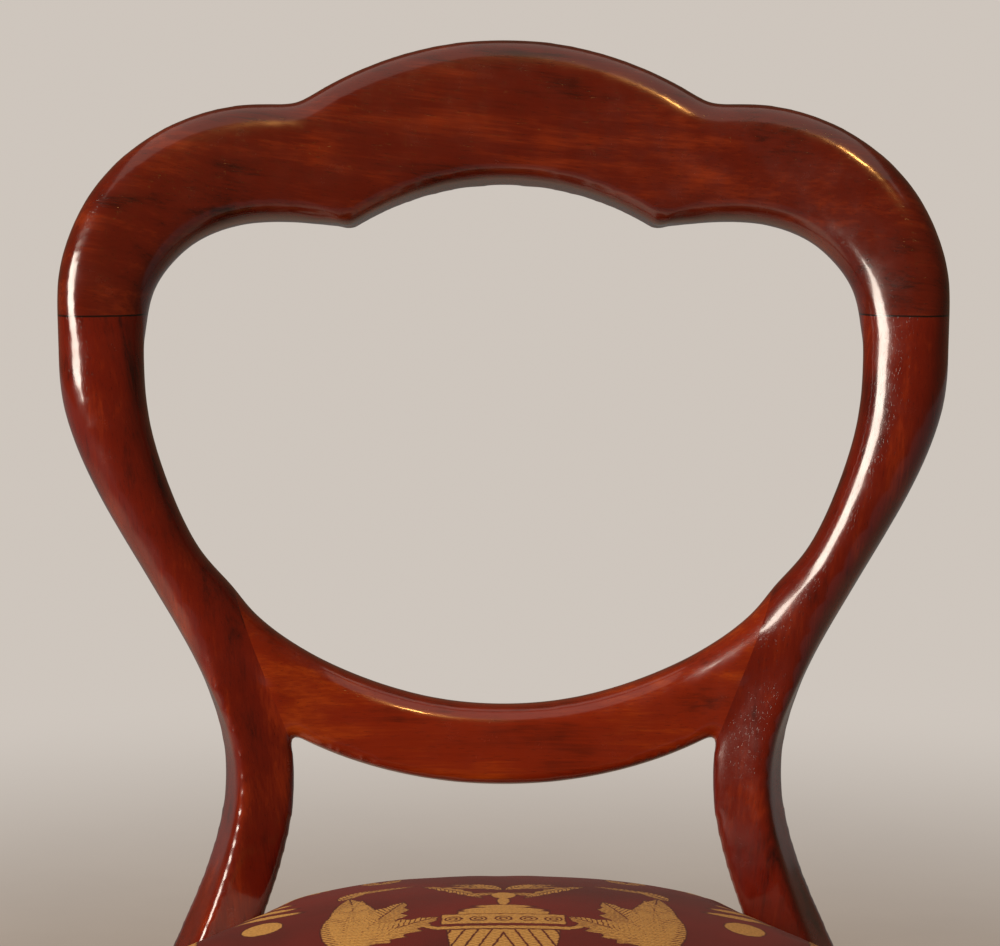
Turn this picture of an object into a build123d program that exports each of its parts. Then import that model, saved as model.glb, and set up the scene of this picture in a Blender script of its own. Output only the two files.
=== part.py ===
from build123d import *
import os
from math import atan, cos, degrees, hypot, radians, sin, sqrt

# Balloon back dining chair with a stuff-over seat. Millimetres, +Z up, the sitter faces -Y.
# The right half (+X) is worked out and mirrored. Y = 0 is the middle of the chair's depth.

# ---- driving dimensions: the back, heights ----
crest_top = 900.0  # top of the middle lobe
crest_arch_height = 822.0  # top of the balloon opening, under the middle lobe
shoulder_top = 865.0  # top of each shoulder lobe
shoulder_joint_height = 756.0  # level joint between crest and upright
cusp_height = 798.5  # the two points that hang into the opening
opening_widest_height = 742.0
outline_widest_height = 733.0  # of the outer edge
opening_bottom = 550.5
splice_top_height = 609.0  # the cross rail is spliced to the upright between these two
splice_foot_height = 535.0
waist_height = 515.0  # where the two uprights come closest together

# ---- driving dimensions: the back, half-widths from the centre plane ----
shoulder_half_width = 233.5
waist_half_width = 147.0
hip_half_width = 194.0  # outer edge of the upright beside the seat rails
rear_foot_half_width = 214.0
opening_half_width = 190.0
notch_half_width = 110.0  # where the middle lobe meets a shoulder lobe, on top
cusp_half_width = 81.5

# ---- driving dimensions: the curves of a shoulder, above the widest level ----
shoulder_outer_centre = (128.0, 765.0)  # x and z
shoulder_inner_x = 120.0
shoulder_inner_rise = 61.5
shoulder_fullness = 2.3  # of the opening's curve there; 2 would be a plain ellipse
opening_fullness = 2.06  # of its lower curve

# ---- driving dimensions: lean, hollow and twist of the back ----
spine_front = 135.0  # front face of the back on the centre plane, at the level below
spine_level = 440.0
spine_lean = 0.20  # backward run for each unit of rise there
spine_curve = 0.00006  # how the lean grows upwards
leg_kick = 0.00098  # how the rear leg sweeps back downwards
dish_radius = 750.0  # hollow of the back, seen from above
stile_twist = 12.0  # degrees by which the lower upright turns in beyond the hollow

# ---- driving dimensions: members of the back ----
crest_depth = 28.0
waist_depth = 32.0
hip_depth = 42.0
rear_foot_depth = 27.0
cross_rail_depth = 29.0
cross_rail_width = 43.0
waist_span = 38.8  # width of the upright seen from the front
hip_span = 47.0
rear_foot_span = 33.0
opening_round = 13.0  # worked edge of the balloon opening, beside and below it
arch_round = 4.0  # the same edge under the middle lobe, where the shoulders' edge runs out
shoulder_round = 15.0  # outer front edge of the shoulders
crest_round = 12.0  # top front edge of the middle lobe
back_chamfer = 3.0
arris_chamfer = 1.5  # crisp edges below the balloon
soft_turn = 0.07  # eases the section where the face changes from looking in to looking up
most_worked = 0.97  # of half a section's side, for a corner that would meet the next one
outline_follow = 0.8  # share of the upright's width by which its two edges are matched along a slope
steepest_match = 0.55  # the slope that this stops at

# ---- driving dimensions: the seat frame ----
seat_rail_top = 396.0
seat_rail_height = 60.0
seat_rail_thickness = 24.0
leg_block = 44.0
leg_setback = 30.5  # from both outer faces of the seat's front corner to the leg's middle
corner_block_cover = 18.0  # wood in front of the corner that the block stands against
corner_block_height = 40.0
corner_block_drop = 9.0  # below the rail's top

# ---- driving dimensions: the upholstered seat ----
seat_front = -268.0  # middle of the bowed front
seat_front_bow = 13.0
seat_back = 150.0
seat_front_half_width = 235.0
seat_back_half_width = 178.0
seat_corner_radius = 42.0
seat_crown = 506.0  # highest point of the dome
dome_centre = -85.0
dome_width_radius = 620.0
dome_depth_radius = 640.0
dome_edge_round = 34.0
dome_swing = 28.0  # degrees to the front and to the back that the dome is turned through
back_corner_round = 38.0
least_corner = 4.0  # round of an inner layer's corners in plan
least_edge = 3.0  # round of an inner layer's upper edge
cover_thickness = 1.2
wadding_thickness = 6.2
second_stuffing_thickness = 13.0
scrim_thickness = 1.0
hessian_thickness = 0.8
hessian_margin = 7.0  # from the rail's outer face
layer_gap = 0.3
stile_clearance = 0.8  # round the uprights, where the soft layers are cut
hem_width = 16.0  # of the cover, under the rails
leg_clearance = 1.0  # of the hem, round the turned leg

# ---- driving dimensions: turned front legs ----
leg_collar_radius = 17.0
leg_collar_height = 5.0
leg_top_bead_radius = 21.5
leg_top_bead_height = 12.0
leg_neck_radius = 14.0
leg_neck_drop = 27.0  # from the rail to the middle of the neck
leg_vase_radius = 20.0
leg_vase_drop = 62.0
leg_taper_radius = 16.5
leg_taper_drop = 160.0
leg_ankle_radius = 11.0
leg_ankle_bead_radius = 14.5
leg_ankle_bead_height = 11.0
leg_ankle_level = 50.0  # underside of the ankle bead
leg_foot_radius = 14.0
leg_foot_level = 26.0
leg_tip_radius = 10.5

# ---- driving dimensions: dowels and screws ----
dowel_radius = 4.0
dowel_glue_gap = 0.05
dowel_end_gap = 1.0
crest_dowel_length = 56.0
crest_dowel_spread = 9.0
splice_dowel_length = 30.0
splice_dowel_spread = 10.0
splice_dowel_rise = 30.0  # middle of the pair, above the splice's foot
splice_dowel_slope = 32.0  # degrees
rail_dowel_length = 34.0
side_dowel_pitch = 18.0
end_dowel_pitch = 36.0  # above and below the side rails' dowels, which come close to these
screw_length = 28.0
screw_radius = 2.2
screw_head_radius = 4.4
screw_pitch = 18.0

# ---- driving dimensions: webbing and tacks ----
webbing_width = 50.0
webbing_thickness = 1.2
webbing_rise = 1.5  # how much higher the upper strip lies at a crossing
webbing_margin = 5.0  # from the rail's outer face to the folded end
webbing_fold = 14.0
webbing_column_pitch = 66.0
webbing_row_pitch = 74.0
webbing_middle_row = -60.0
webbing_columns = 4
webbing_rows = 4
webbing_slack = 2.0  # of a strip, beside the one it crosses
webbing_slope = 20.0  # along a strip, from the level of the rails to its first crossing
webbing_tack_pitch = 16.0
webbing_tacks = 3  # at each end of a strip
tack_head_radius = 2.8
tack_head_thickness = 0.7
tack_head_sides = 8
tack_shank = 1.3
tack_length = 9.0
tack_clearance = 0.03
hem_tack_margin = 9.0  # from the rail's outer face
hem_tack_spacing = 36.0

# ---- where the lofts take their sections ----
leg_shares = (0.0, 0.1, 0.3, 0.55, 0.8, 1.0)  # of the height from the floor to the seat rails
stile_shares = (0.0, 0.4, 0.7, 1.0)  # of the height from the rails' top to the waist
splice_shares = (0.3, 0.6)  # of the height from the waist to the splice's top
balloon_shares = (-0.05, 0.13, 0.36, 0.6, 0.82, 1.0)  # of that from there to the widest level
shoulder_steps = 6  # from the level to the upright section
lobe_steps = 4  # from the middle to a notch
cross_rail_steps = 6  # from the middle to the splice

# ---- how far cutting shapes run on past what they cut ----
beyond = 700.0  # past every side of the chair
past = 25.0  # past the ends of a splice
overrun = 10.0  # past a face of the seat

# ---- sizes that follow ----
seat_rail_bottom = seat_rail_top - seat_rail_height
wadding_inset = cover_thickness + layer_gap
rail_inset = wadding_inset + wadding_thickness + layer_gap
rail_inner_inset = rail_inset + seat_rail_thickness
scrim_inset = rail_inset + second_stuffing_thickness + layer_gap
first_stuffing_inset = scrim_inset + scrim_thickness + layer_gap
hem_bottom = seat_rail_bottom - layer_gap - cover_thickness
least_round = back_chamfer + 0.1  # corners up to the chamfer's size are flat, and rounded from here on
hessian_level = seat_rail_top + 2 * webbing_thickness + tack_head_thickness + layer_gap
stuffing_level = hessian_level + hessian_thickness + layer_gap
webbing_inset = rail_inset + webbing_margin
leg_x = seat_front_half_width - leg_setback
leg_y = seat_front + seat_front_bow + leg_setback


# ---- the front surface of the back ----
def smooth_step(share):
    share = min(max(share, 0.0), 1.0)
    return share * share * (3 - 2 * share)


def blend(height, low, high, at_low, at_high):
    """at_low below low, at_high above high, and a smooth change between them."""
    return at_low + (at_high - at_low) * smooth_step((height - low) / (high - low))


def outer_edge(height):
    """Outer silhouette of the upright, from the floor to the shoulder."""
    hip_height = seat_rail_bottom + seat_rail_height / 3
    if height > waist_height:
        return blend(height, waist_height, outline_widest_height, waist_half_width, shoulder_half_width)
    if height > hip_height:
        return blend(height, hip_height, waist_height, hip_half_width, waist_half_width)
    share = (height / hip_height) ** 2
    return rear_foot_half_width + (hip_half_width - rear_foot_half_width) * share


def upright_span(height):
    """Width of the upright seen from the front, below the balloon."""
    if height < seat_rail_bottom:
        return rear_foot_span + (hip_span - rear_foot_span) * height / seat_rail_bottom
    return blend(height, seat_rail_bottom, waist_height, hip_span, waist_span)


def upright_depth(height):
    if height < seat_rail_bottom:
        return rear_foot_depth + (hip_depth - rear_foot_depth) * height / seat_rail_bottom
    if height < waist_height:
        return blend(height, seat_rail_bottom, waist_height, hip_depth, waist_depth)
    return blend(height, waist_height, opening_widest_height, waist_depth, crest_depth)


def front_face(x, height):
    """The Y of the back's front face: leaning, hollow from side to side, and twisted low down."""
    rise = height - spine_level
    bend = spine_curve if rise > 0 else leg_kick
    spine = spine_front + spine_lean * rise + bend * rise * rise
    middle = outer_edge(height) - upright_span(height) / 2
    turned = blend(height, waist_height, splice_top_height, stile_twist, 0.0)
    inward = min(middle - abs(x), upright_span(height) / 2)
    twist = inward * sin(radians(turned)) * smooth_step(abs(x) / middle)
    return spine - x * x / (2 * dish_radius) + twist


def opening_edge(height):
    """Half-width of the balloon opening, from its lowest to its widest level."""
    fall = abs(opening_widest_height - height) / (opening_widest_height - opening_bottom)
    return opening_half_width * (1 - fall**opening_fullness) ** (1 / opening_fullness)


# ---- cross sections of the back's members ----
def member_frame(inner, outer, depth, open_round=0.0, out_round=0.0, back=0.0):
    """Centre, run, turn and half sizes of the section between two (x, z) points of the silhouette."""
    span = hypot(outer[0] - inner[0], outer[1] - inner[1])
    run = ((outer[0] - inner[0]) / span, (outer[1] - inner[1]) / span)
    inner_face = front_face(*inner)
    outer_face = front_face(*outer)
    turn = atan((inner_face - outer_face) / span)
    steep = hypot(sin(turn), soft_turn)
    share = (1 + sin(turn) / steep) / 2
    lost = cos(turn) + steep - 1  # what a worked corner takes off the silhouette
    outer_lost = lost * (out_round + (back - out_round) * share)
    inner_lost = lost * (back + (open_round - back) * share)
    reach = (span + outer_lost + inner_lost) / 2
    half_width = (reach - depth / 2 * steep) / cos(turn)
    along = span + outer_lost - reach
    face = (inner_face + outer_face + depth) / 2
    centre = Vector(inner[0] + run[0] * along, face, inner[1] + run[1] * along)
    return centre, run, turn, half_width, depth / 2


def worked_corner(corner, right, back, size, is_round):
    """One corner of a section, a quarter curve or a flat chamfer, in anticlockwise order.

    right and back are 1 or -1, and say which of the four corners it is.
    """
    on_level = corner - Vector(right * size, 0)
    on_upright = corner - Vector(0, back * size)
    first, last = (on_upright, on_level) if right == back else (on_level, on_upright)
    if not is_round:
        return first, Edge.make_line(first, last), last
    fullness = 4 / 3 * (sqrt(2) - 1)  # the cubic that follows a quarter circle
    near_first = first + (corner - first) * fullness
    near_last = last + (corner - last) * fullness
    return first, Edge.make_bezier(first, near_first, near_last, last), last


def member_section(inner, outer, depth, open_round, out_round, back, grow=0.0):
    """A worked quadrilateral in the plane through both points and the Y direction.

    inner lies on the opening's side. grow makes it larger all round, to cut with clearance.
    """
    centre, run, turn, half_width, half_depth = member_frame(
        inner, outer, depth, open_round, out_round, back
    )
    half_width += grow
    half_depth += grow
    most = min(half_width, half_depth) * most_worked
    corners = []
    for right, to_back, size in (
        (-1, -1, open_round),
        (1, -1, out_round),
        (1, 1, back),
        (-1, 1, back),
    ):
        corner = Vector(right * half_width, to_back * half_depth)
        is_round = size > back_chamfer
        corners.append(worked_corner(corner, right, to_back, min(size, most), is_round))
    edges = []
    for index, (_, corner_edge, last) in enumerate(corners):
        edges.append(corner_edge)
        edges.append(Edge.make_line(last, corners[(index + 1) % 4][0]))
    plane = Plane(origin=centre, x_dir=(run[0], 0, run[1]), z_dir=(-run[1], 0, run[0]))
    return plane * (Rot(0, 0, -degrees(turn)) * Wire(edges))


def lower_points(height):
    edge = outer_edge(height)
    return (edge - upright_span(height), height), (edge, height), upright_depth(height)


def lower_section(height, grow=0.0):
    """The upright's section below the balloon."""
    return member_section(*lower_points(height), arris_chamfer, arris_chamfer, arris_chamfer, grow)


def balloon_section(height):
    """The upright's section beside the balloon, square to its slope."""
    slope = (opening_edge(height + 1) - opening_edge(height - 1)) / 2
    outer_height = height - outline_follow * waist_span * min(slope, steepest_match)
    low = (waist_height + splice_top_height) / 2
    return member_section(
        (opening_edge(height), height),
        (outer_edge(outer_height), outer_height),
        upright_depth(height),
        opening_round,
        blend(height, low, opening_widest_height, least_round, shoulder_round),
        back_chamfer,
    )


def shoulder_section(angle):
    """A section of the shoulder, angle degrees up from the level."""
    outer_x, outer_z = shoulder_outer_centre
    across, up = cos(radians(angle)), sin(radians(angle))
    inner_width = opening_half_width - shoulder_inner_x
    inner = (
        shoulder_inner_x + inner_width * max(across, 0.0) ** (2 / shoulder_fullness),
        opening_widest_height + shoulder_inner_rise * up ** (2 / shoulder_fullness),
    )
    outer = (outer_x + (shoulder_half_width - outer_x) * across, outer_z + (shoulder_top - outer_z) * up)
    inner_round = opening_round + (arch_round - opening_round) * angle / 90
    return member_section(inner, outer, crest_depth, inner_round, shoulder_round, back_chamfer)


def arc_height(x, half_chord, low, high):
    """Height at x of the arc that stands on (half_chord, low) and tops at (0, high)."""
    rise = high - low
    radius = (half_chord**2 + rise**2) / (2 * rise)
    return high - radius + sqrt(radius**2 - x**2)


def lobe_section(share):
    """A section of the crest's middle lobe, from the left notch at -1 to the right one at 1."""
    below = share * cusp_half_width
    above = share * notch_half_width
    return member_section(
        (below, arc_height(below, cusp_half_width, cusp_height, crest_arch_height)),
        (above, arc_height(above, notch_half_width, shoulder_top, crest_top)),
        crest_depth,
        arch_round,
        crest_round + (shoulder_round - crest_round) * abs(share),
        back_chamfer,
    )


def cross_rail_section(x):
    """A section of the cross rail, square to the opening's edge at x."""
    flat = abs(x) / opening_half_width
    fall = (1 - flat**opening_fullness) ** (1 / opening_fullness)
    drop = opening_widest_height - opening_bottom
    slope = drop / opening_half_width * (flat / fall) ** (opening_fullness - 1)
    top = (x, opening_widest_height - drop * fall)
    away = cross_rail_width / hypot(slope, 1)
    slope = slope if x > 0 else -slope
    bottom = (x + slope * away, top[1] - away)
    return member_section(top, bottom, cross_rail_depth, opening_round, arris_chamfer, arris_chamfer)


# ---- small helpers ----
def mirrored(shape):
    return mirror(shape, about=Plane.YZ)


def half_space(level, above):
    """A block that fills everything above or below a level."""
    middle = level + beyond if above else level - beyond
    return Pos(0, 0, middle) * Box(2 * beyond, 2 * beyond, 2 * beyond)


def rod(middle, direction, length, radius):
    """A cylinder centred on a point and lying along a direction."""
    return Plane(origin=middle, z_dir=direction) * Cylinder(radius, length)


def dowels_and_holes(places, length):
    """Dowels at (middle, direction) places, and the holes that they are glued into."""
    dowels, holes = [], []
    for middle, direction in places:
        dowels.append(rod(middle, direction, length, dowel_radius))
        hole_length = length + 2 * dowel_end_gap
        holes.append(rod(middle, direction, hole_length, dowel_radius + dowel_glue_gap))
    return dowels, holes


def both_sides(shapes):
    return shapes + [mirrored(shape) for shape in shapes]


# ---- the wooden back ----
def level_heights():
    """Where the upright's loft takes its level sections, from the floor to the splice."""
    heights = [seat_rail_bottom * share for share in leg_shares]
    above_seat = waist_height - seat_rail_top
    heights += [seat_rail_top + above_seat * share for share in stile_shares]
    hidden = splice_top_height - waist_height
    return heights + [waist_height + hidden * share for share in splice_shares]


def side_of_the_frame():
    """The right foot, upright and shoulder as one sweep of sections, before it is sawn."""
    sections = [lower_section(height) for height in level_heights()]
    climb = opening_widest_height - splice_top_height
    for share in balloon_shares:
        sections.append(balloon_section(splice_top_height + climb * share))
    sections += [shoulder_section(90 * step / shoulder_steps) for step in range(shoulder_steps + 1)]
    sections.append(lobe_section(1.0))
    return Solid.make_loft(sections)


def splice_line():
    """Top and foot of the right splice, as (x, z)."""
    foot_x = outer_edge(splice_foot_height) - upright_span(splice_foot_height)
    return (opening_edge(splice_top_height), splice_top_height), (foot_x, splice_foot_height)


def splice_zone():
    """The part of the back that belongs to the cross rail, between the two splices."""
    top, foot = splice_line()
    slope = (top[0] - foot[0]) / (top[1] - foot[1])
    high = (top[0] + slope * past, top[1] + past)
    low = (foot[0] - 2 * slope * past, foot[1] - 2 * past)
    outline = Polyline(high, low, (-low[0], low[1]), (-high[0], high[1]), close=True)
    return extrude(Plane.XZ * make_face(outline), amount=beyond, both=True)


def from_right_to_left(steps):
    """Shares from 1 to -1, in as many steps on each side of 0."""
    return [step / steps for step in range(steps, -steps - 1, -1)]


def crest(shoulder):
    """Both shoulders and the middle lobe, closed into one solid along the notches."""
    lobe = Solid.make_loft([lobe_section(share) for share in from_right_to_left(lobe_steps)])
    notches = [face.center() for face in lobe.faces().filter_by(GeomType.PLANE)]
    worked = [
        face for face in shoulder.faces() if all((face.center() - notch).length > 1 for notch in notches)
    ]
    faces = [face for face in lobe.faces() if face.geom_type != GeomType.PLANE]
    faces += worked + [mirrored(face) for face in worked]
    return Solid(Shell(faces))


side_frame = side_of_the_frame()
zone = splice_zone()
right_upright = side_frame - half_space(shoulder_joint_height, True) - zone
crest_rail = crest(side_frame & half_space(shoulder_joint_height, True))
rail_reach = opening_edge(splice_top_height + past)
cross_rail = Solid.make_loft(
    [cross_rail_section(rail_reach * share) for share in from_right_to_left(cross_rail_steps)]
)
cross_rail = cross_rail & zone
fat_upright = Solid.make_loft([lower_section(height, stile_clearance) for height in level_heights()])


# ---- plan and dome of the seat ----
side_run = Vector(seat_back_half_width - seat_front_half_width, seat_back - seat_front - seat_front_bow)
side_slope = side_run.X / side_run.Y
bow_radius = (seat_front_half_width**2 + seat_front_bow**2) / (2 * seat_front_bow)


def side_x(y, inset):
    """X of the seat's straight side, drawn in by inset."""
    shift = inset * side_run.length / side_run.Y
    return seat_front_half_width + side_slope * (y - seat_front - seat_front_bow) - shift


def front_y(x, inset):
    """Y of the seat's bowed front, drawn in by inset."""
    return seat_front + bow_radius - sqrt((bow_radius - inset) ** 2 - x**2)


def seat_plan(inset):
    """Outline of the seat, drawn in from the cover's outer face."""
    corner_x = seat_front_half_width
    for _ in range(5):
        corner_x = side_x(front_y(corner_x, inset), inset)
    corner_y = front_y(corner_x, inset)
    back_y = seat_back - inset
    back_x = side_x(back_y, inset)
    outline = [
        ThreePointArc((-corner_x, corner_y), (0, seat_front + inset), (corner_x, corner_y)),
        Line((corner_x, corner_y), (back_x, back_y)),
        Line((back_x, back_y), (-back_x, back_y)),
        Line((-back_x, back_y), (-corner_x, corner_y)),
    ]
    plan = make_face(outline)
    front_corners = plan.vertices().sort_by(Axis.Y)[:2]
    plan = fillet(front_corners, max(seat_corner_radius - inset, least_corner))
    back_corners = plan.vertices().sort_by(Axis.Y)[-2:]
    return fillet(back_corners, max(back_corner_round - inset, least_corner))


def plan_block(inset, low, high):
    return Pos(0, 0, low) * extrude(seat_plan(inset), amount=high - low)


def dome(inset):
    """Everything under the dome: a crown that is round both ways."""
    crown = seat_crown - inset
    width_radius = dome_width_radius - inset
    depth_radius = dome_depth_radius - inset
    section_plane = Plane(origin=(0, dome_centre, 0), x_dir=(1, 0, 0), z_dir=(0, -1, 0))
    disc = Pos(0, crown - width_radius) * Circle(width_radius)
    window = Pos(0, crown - width_radius / 4) * Rectangle(width_radius, width_radius / 2)
    swing = Axis((0, dome_centre, crown - depth_radius), (1, 0, 0))
    start = (section_plane * (disc & window)).rotate(swing, -dome_swing)
    return revolve(start, swing, 2 * dome_swing)


def seat_form(inset, low, stitched=False):
    """The seat's form, drawn in by inset, down to a level; a stitched edge stays sharp."""
    form = plan_block(inset, low, seat_crown + overrun) & dome(inset)
    if stitched:
        return form
    rim = form.faces().sort_by(Axis.Z)[-1].edges()
    return fillet(rim, max(dome_edge_round - inset, least_edge))


# ---- front legs ----
def turned_leg():
    """The turned part below the rails, on its own axis, from the rail to the floor."""
    top = seat_rail_bottom
    bead_top = top - leg_collar_height
    bead_bottom = bead_top - leg_top_bead_height
    ankle_top = leg_ankle_level + leg_ankle_bead_height
    profile = [
        Line((0, top), (leg_collar_radius, top)),
        Line((leg_collar_radius, top), (leg_collar_radius, bead_top)),
        ThreePointArc(
            (leg_collar_radius, bead_top),
            (leg_top_bead_radius, (bead_top + bead_bottom) / 2),
            (leg_collar_radius, bead_bottom),
        ),
        Line((leg_collar_radius, bead_bottom), (leg_neck_radius, bead_bottom)),
        Spline(
            (leg_neck_radius, bead_bottom),
            (leg_neck_radius, top - leg_neck_drop),
            (leg_vase_radius, top - leg_vase_drop),
            (leg_taper_radius, top - leg_taper_drop),
            (leg_ankle_radius, ankle_top),
            tangents=((-0.2, -1), (-0.04, -1)),
        ),
        ThreePointArc(
            (leg_ankle_radius, ankle_top),
            (leg_ankle_bead_radius, leg_ankle_level + leg_ankle_bead_height / 2),
            (leg_ankle_radius, leg_ankle_level),
        ),
        ThreePointArc(
            (leg_ankle_radius, leg_ankle_level), (leg_foot_radius, leg_foot_level), (leg_tip_radius, 0)
        ),
        Line((leg_tip_radius, 0), (0, 0)),
        Line((0, 0), (0, top)),
    ]
    return revolve(Plane.XZ * make_face(profile), Axis.Z, 360)


def front_leg():
    """The right front leg: a square post that fills the corner of the rails, turned below them."""
    corner = Pos(leg_x - leg_block / 2, leg_y + leg_block / 2, seat_rail_bottom)
    post = corner * Box(beyond, beyond, seat_rail_height, align=(Align.MIN, Align.MAX, Align.MIN))
    post &= plan_block(rail_inset, seat_rail_bottom, seat_rail_top)
    return post + Pos(leg_x, leg_y, 0) * turned_leg()


right_leg = front_leg()
left_leg = mirrored(right_leg)
left_upright = mirrored(right_upright)

# ---- seat rails ----
def biggest(shape):
    return max(shape.solids(), key=lambda solid: solid.volume)


def seat_rails():
    """The front, back and right rails: one ring, divided and cut by the posts' own shapes."""
    hollow = plan_block(rail_inner_inset, seat_rail_bottom - overrun, seat_rail_top + overrun)
    ring = plan_block(rail_inset, seat_rail_bottom, seat_rail_top) - hollow
    back_line = seat_back - rail_inner_inset
    post_line = leg_y + leg_block / 2
    side_length = back_line - post_line
    low_corner = (Align.MIN, Align.MIN, Align.MIN)
    level = seat_rail_bottom
    right_zone = Pos(0, post_line, level) * Box(
        beyond, side_length, seat_rail_height, align=low_corner
    )
    back_zone = Pos(-beyond, back_line, level) * Box(
        2 * beyond, beyond, seat_rail_height, align=low_corner
    )
    right = biggest((ring & right_zone) - right_upright)
    back = biggest((ring & back_zone) - right_upright - left_upright)
    front_zone = Pos(0, post_line - beyond / 2, level + seat_rail_height / 2) * Box(
        2 * leg_x - leg_block, beyond, seat_rail_height
    )
    return biggest(ring & front_zone), back, right


front_rail, back_rail, right_rail = seat_rails()
whole_rails = [front_rail, back_rail, right_rail]
block_middle = seat_rail_top - corner_block_drop - corner_block_height / 2


# ---- corner blocks and their screws ----
def corner_block(corner, outward, members):
    """A glued block across an inner corner of the rails, cut round what stands in the corner."""
    top = seat_rail_top - corner_block_drop
    block = plan_block(rail_inner_inset, top - corner_block_height, top)
    face_middle = corner - outward * corner_block_cover
    keep = Plane(origin=face_middle, x_dir=Vector(-outward.Y, outward.X, 0), z_dir=outward)
    block &= keep * Box(beyond, beyond, beyond, align=(Align.CENTER, Align.CENTER, Align.MIN))
    for member in members:
        block -= member
    return biggest(block)


def corner_screws(corner, outward):
    """Two countersunk screws through a corner block into the post behind it."""
    screws = []
    head = screw_head_radius - screw_radius
    seat = corner - outward * corner_block_cover
    for side in (-0.5, 0.5):
        plane = Plane(origin=(seat.X, seat.Y, block_middle + side * screw_pitch), z_dir=outward)
        shank = Cylinder(screw_radius, screw_length, align=(Align.CENTER, Align.CENTER, Align.MIN))
        cone = Cone(screw_head_radius, screw_radius, head, align=(Align.CENTER, Align.CENTER, Align.MIN))
        screws.append(plane * (shank + cone))
    return screws


front_corner = Vector(leg_x - leg_block / 2, leg_y + leg_block / 2, block_middle)
front_outward = Vector(1, -1, 0).normalized()
right_front_block = corner_block(front_corner, front_outward, [right_leg, right_rail, front_rail])
back_corner_x = outer_edge(block_middle) - upright_span(block_middle)
back_corner = Vector(back_corner_x, front_face(back_corner_x, block_middle), block_middle)
back_outward = Vector(1, 1, 0).normalized()
right_back_block = corner_block(back_corner, back_outward, [right_upright, right_rail, back_rail])
right_screws = corner_screws(front_corner, front_outward) + corner_screws(back_corner, back_outward)


# ---- dowels ----
def joint_point(member, start, direction):
    """Where a line from start first meets a member."""
    path = Edge.make_line(start, start + direction * beyond)
    return Vector(*(path & member).vertices().sort_by_distance(start)[0])


def in_the_back(x, height, depth):
    """A point in the middle of the back's thickness."""
    return Vector(x, front_face(x, height) + depth / 2, height)


def crest_dowel_places():
    """Two dowels through the level joint, which lean with the back."""
    centre = (opening_half_width + shoulder_half_width) / 2
    places = []
    for side in (-1, 1):
        x = centre + side * crest_dowel_spread
        below = in_the_back(x, shoulder_joint_height - 1, crest_depth)
        above = in_the_back(x, shoulder_joint_height + 1, crest_depth)
        places.append(((below + above) / 2, (above - below).normalized()))
    return places


def splice_dowel_places():
    """Two dowels through the splice, along the grain of the cross rail."""
    top, foot = splice_line()
    along = Vector(top[0] - foot[0], 0, top[1] - foot[1]).normalized()
    slope = radians(splice_dowel_slope)
    places = []
    for side in (-1, 1):
        rise = splice_dowel_rise + side * splice_dowel_spread
        point = Vector(foot[0], 0, foot[1]) + along * rise
        middle = in_the_back(point.X, point.Z, cross_rail_depth)
        places.append((middle, Vector(cos(slope), 0, sin(slope))))
    return places


def rail_dowel_places(member, start, direction, pitch):
    """Two dowels, one above the other, where a rail's end meets a post."""
    middle = seat_rail_bottom + seat_rail_height / 2
    places = []
    for side in (-0.5, 0.5):
        begin = Vector(start.X, start.Y, middle + side * pitch)
        places.append((joint_point(member, begin, direction), direction))
    return places


side_direction = Vector(side_run.X, side_run.Y, 0).normalized()
rail_middle = rail_inset + seat_rail_thickness / 2
side_start = Vector(side_x(0, rail_middle), 0, 0)
end_x = leg_x - leg_block / 2
front_start = Vector(0, front_y(end_x, rail_middle), 0)
back_start = Vector(0, seat_back - rail_middle, 0)
crest_dowels, crest_holes = dowels_and_holes(crest_dowel_places(), crest_dowel_length)
splice_dowels, splice_holes = dowels_and_holes(splice_dowel_places(), splice_dowel_length)
back_dowels, back_holes = dowels_and_holes(
    rail_dowel_places(right_upright, back_start, Vector(1, 0, 0), end_dowel_pitch), rail_dowel_length
)
front_dowels, front_holes = dowels_and_holes(
    rail_dowel_places(right_leg, front_start, Vector(1, 0, 0), end_dowel_pitch), rail_dowel_length
)
side_dowels, side_holes = dowels_and_holes(
    rail_dowel_places(right_upright, side_start, side_direction, side_dowel_pitch)
    + rail_dowel_places(right_leg, side_start, -side_direction, side_dowel_pitch),
    rail_dowel_length,
)


# ---- webbing: four strips each way, woven over and under, folded and tacked on the rails ----
def strip_profile(crossings, first_is_over, half_length):
    """Side view of a strip as (position along, level) points, raised at every second crossing."""
    flat = webbing_width / 2 + webbing_slack
    points = [(-half_length, 0.0), (crossings[0] - flat - webbing_slope, 0.0)]
    over = first_is_over
    for crossing in crossings:
        level = webbing_rise if over else 0.0
        points += [(crossing - flat, level), (crossing + flat, level)]
        over = not over
    points += [(crossings[-1] + flat + webbing_slope, 0.0), (half_length, 0.0)]
    return points


def webbing_strip(place, across, points):
    """One strip with its two folded ends; place is its middle line, across its crossings' axis."""
    low = [(along, level) for along, level in points]
    high = [(along, level + webbing_thickness) for along, level in reversed(points)]
    outline = make_face(Polyline(*low, *high, close=True))
    plane = Plane(origin=(0, 0, 0), x_dir=across, z_dir=Vector(0, 0, 1).cross(across) * -1)
    shift = Pos(*(place + Vector(0, 0, seat_rail_top)))
    strip = shift * extrude(plane * outline, amount=webbing_width / 2, both=True)
    fold_middle = seat_rail_top + 1.5 * webbing_thickness
    size = across * (2 * beyond) + (Vector(1, 1, 0) - across) * webbing_width
    doubled = Pos(place.X, place.Y, fold_middle) * Box(size.X, size.Y, webbing_thickness)
    rim_low, rim_high = seat_rail_top, seat_rail_top + 2 * webbing_thickness
    rim = plan_block(webbing_inset, rim_low, rim_high)
    doubled &= rim - plan_block(webbing_inset + webbing_fold, rim_low - overrun, rim_high + overrun)
    limit = plan_block(webbing_inset, seat_rail_top - overrun, seat_rail_top + overrun)
    return (strip & limit) + doubled


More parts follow.
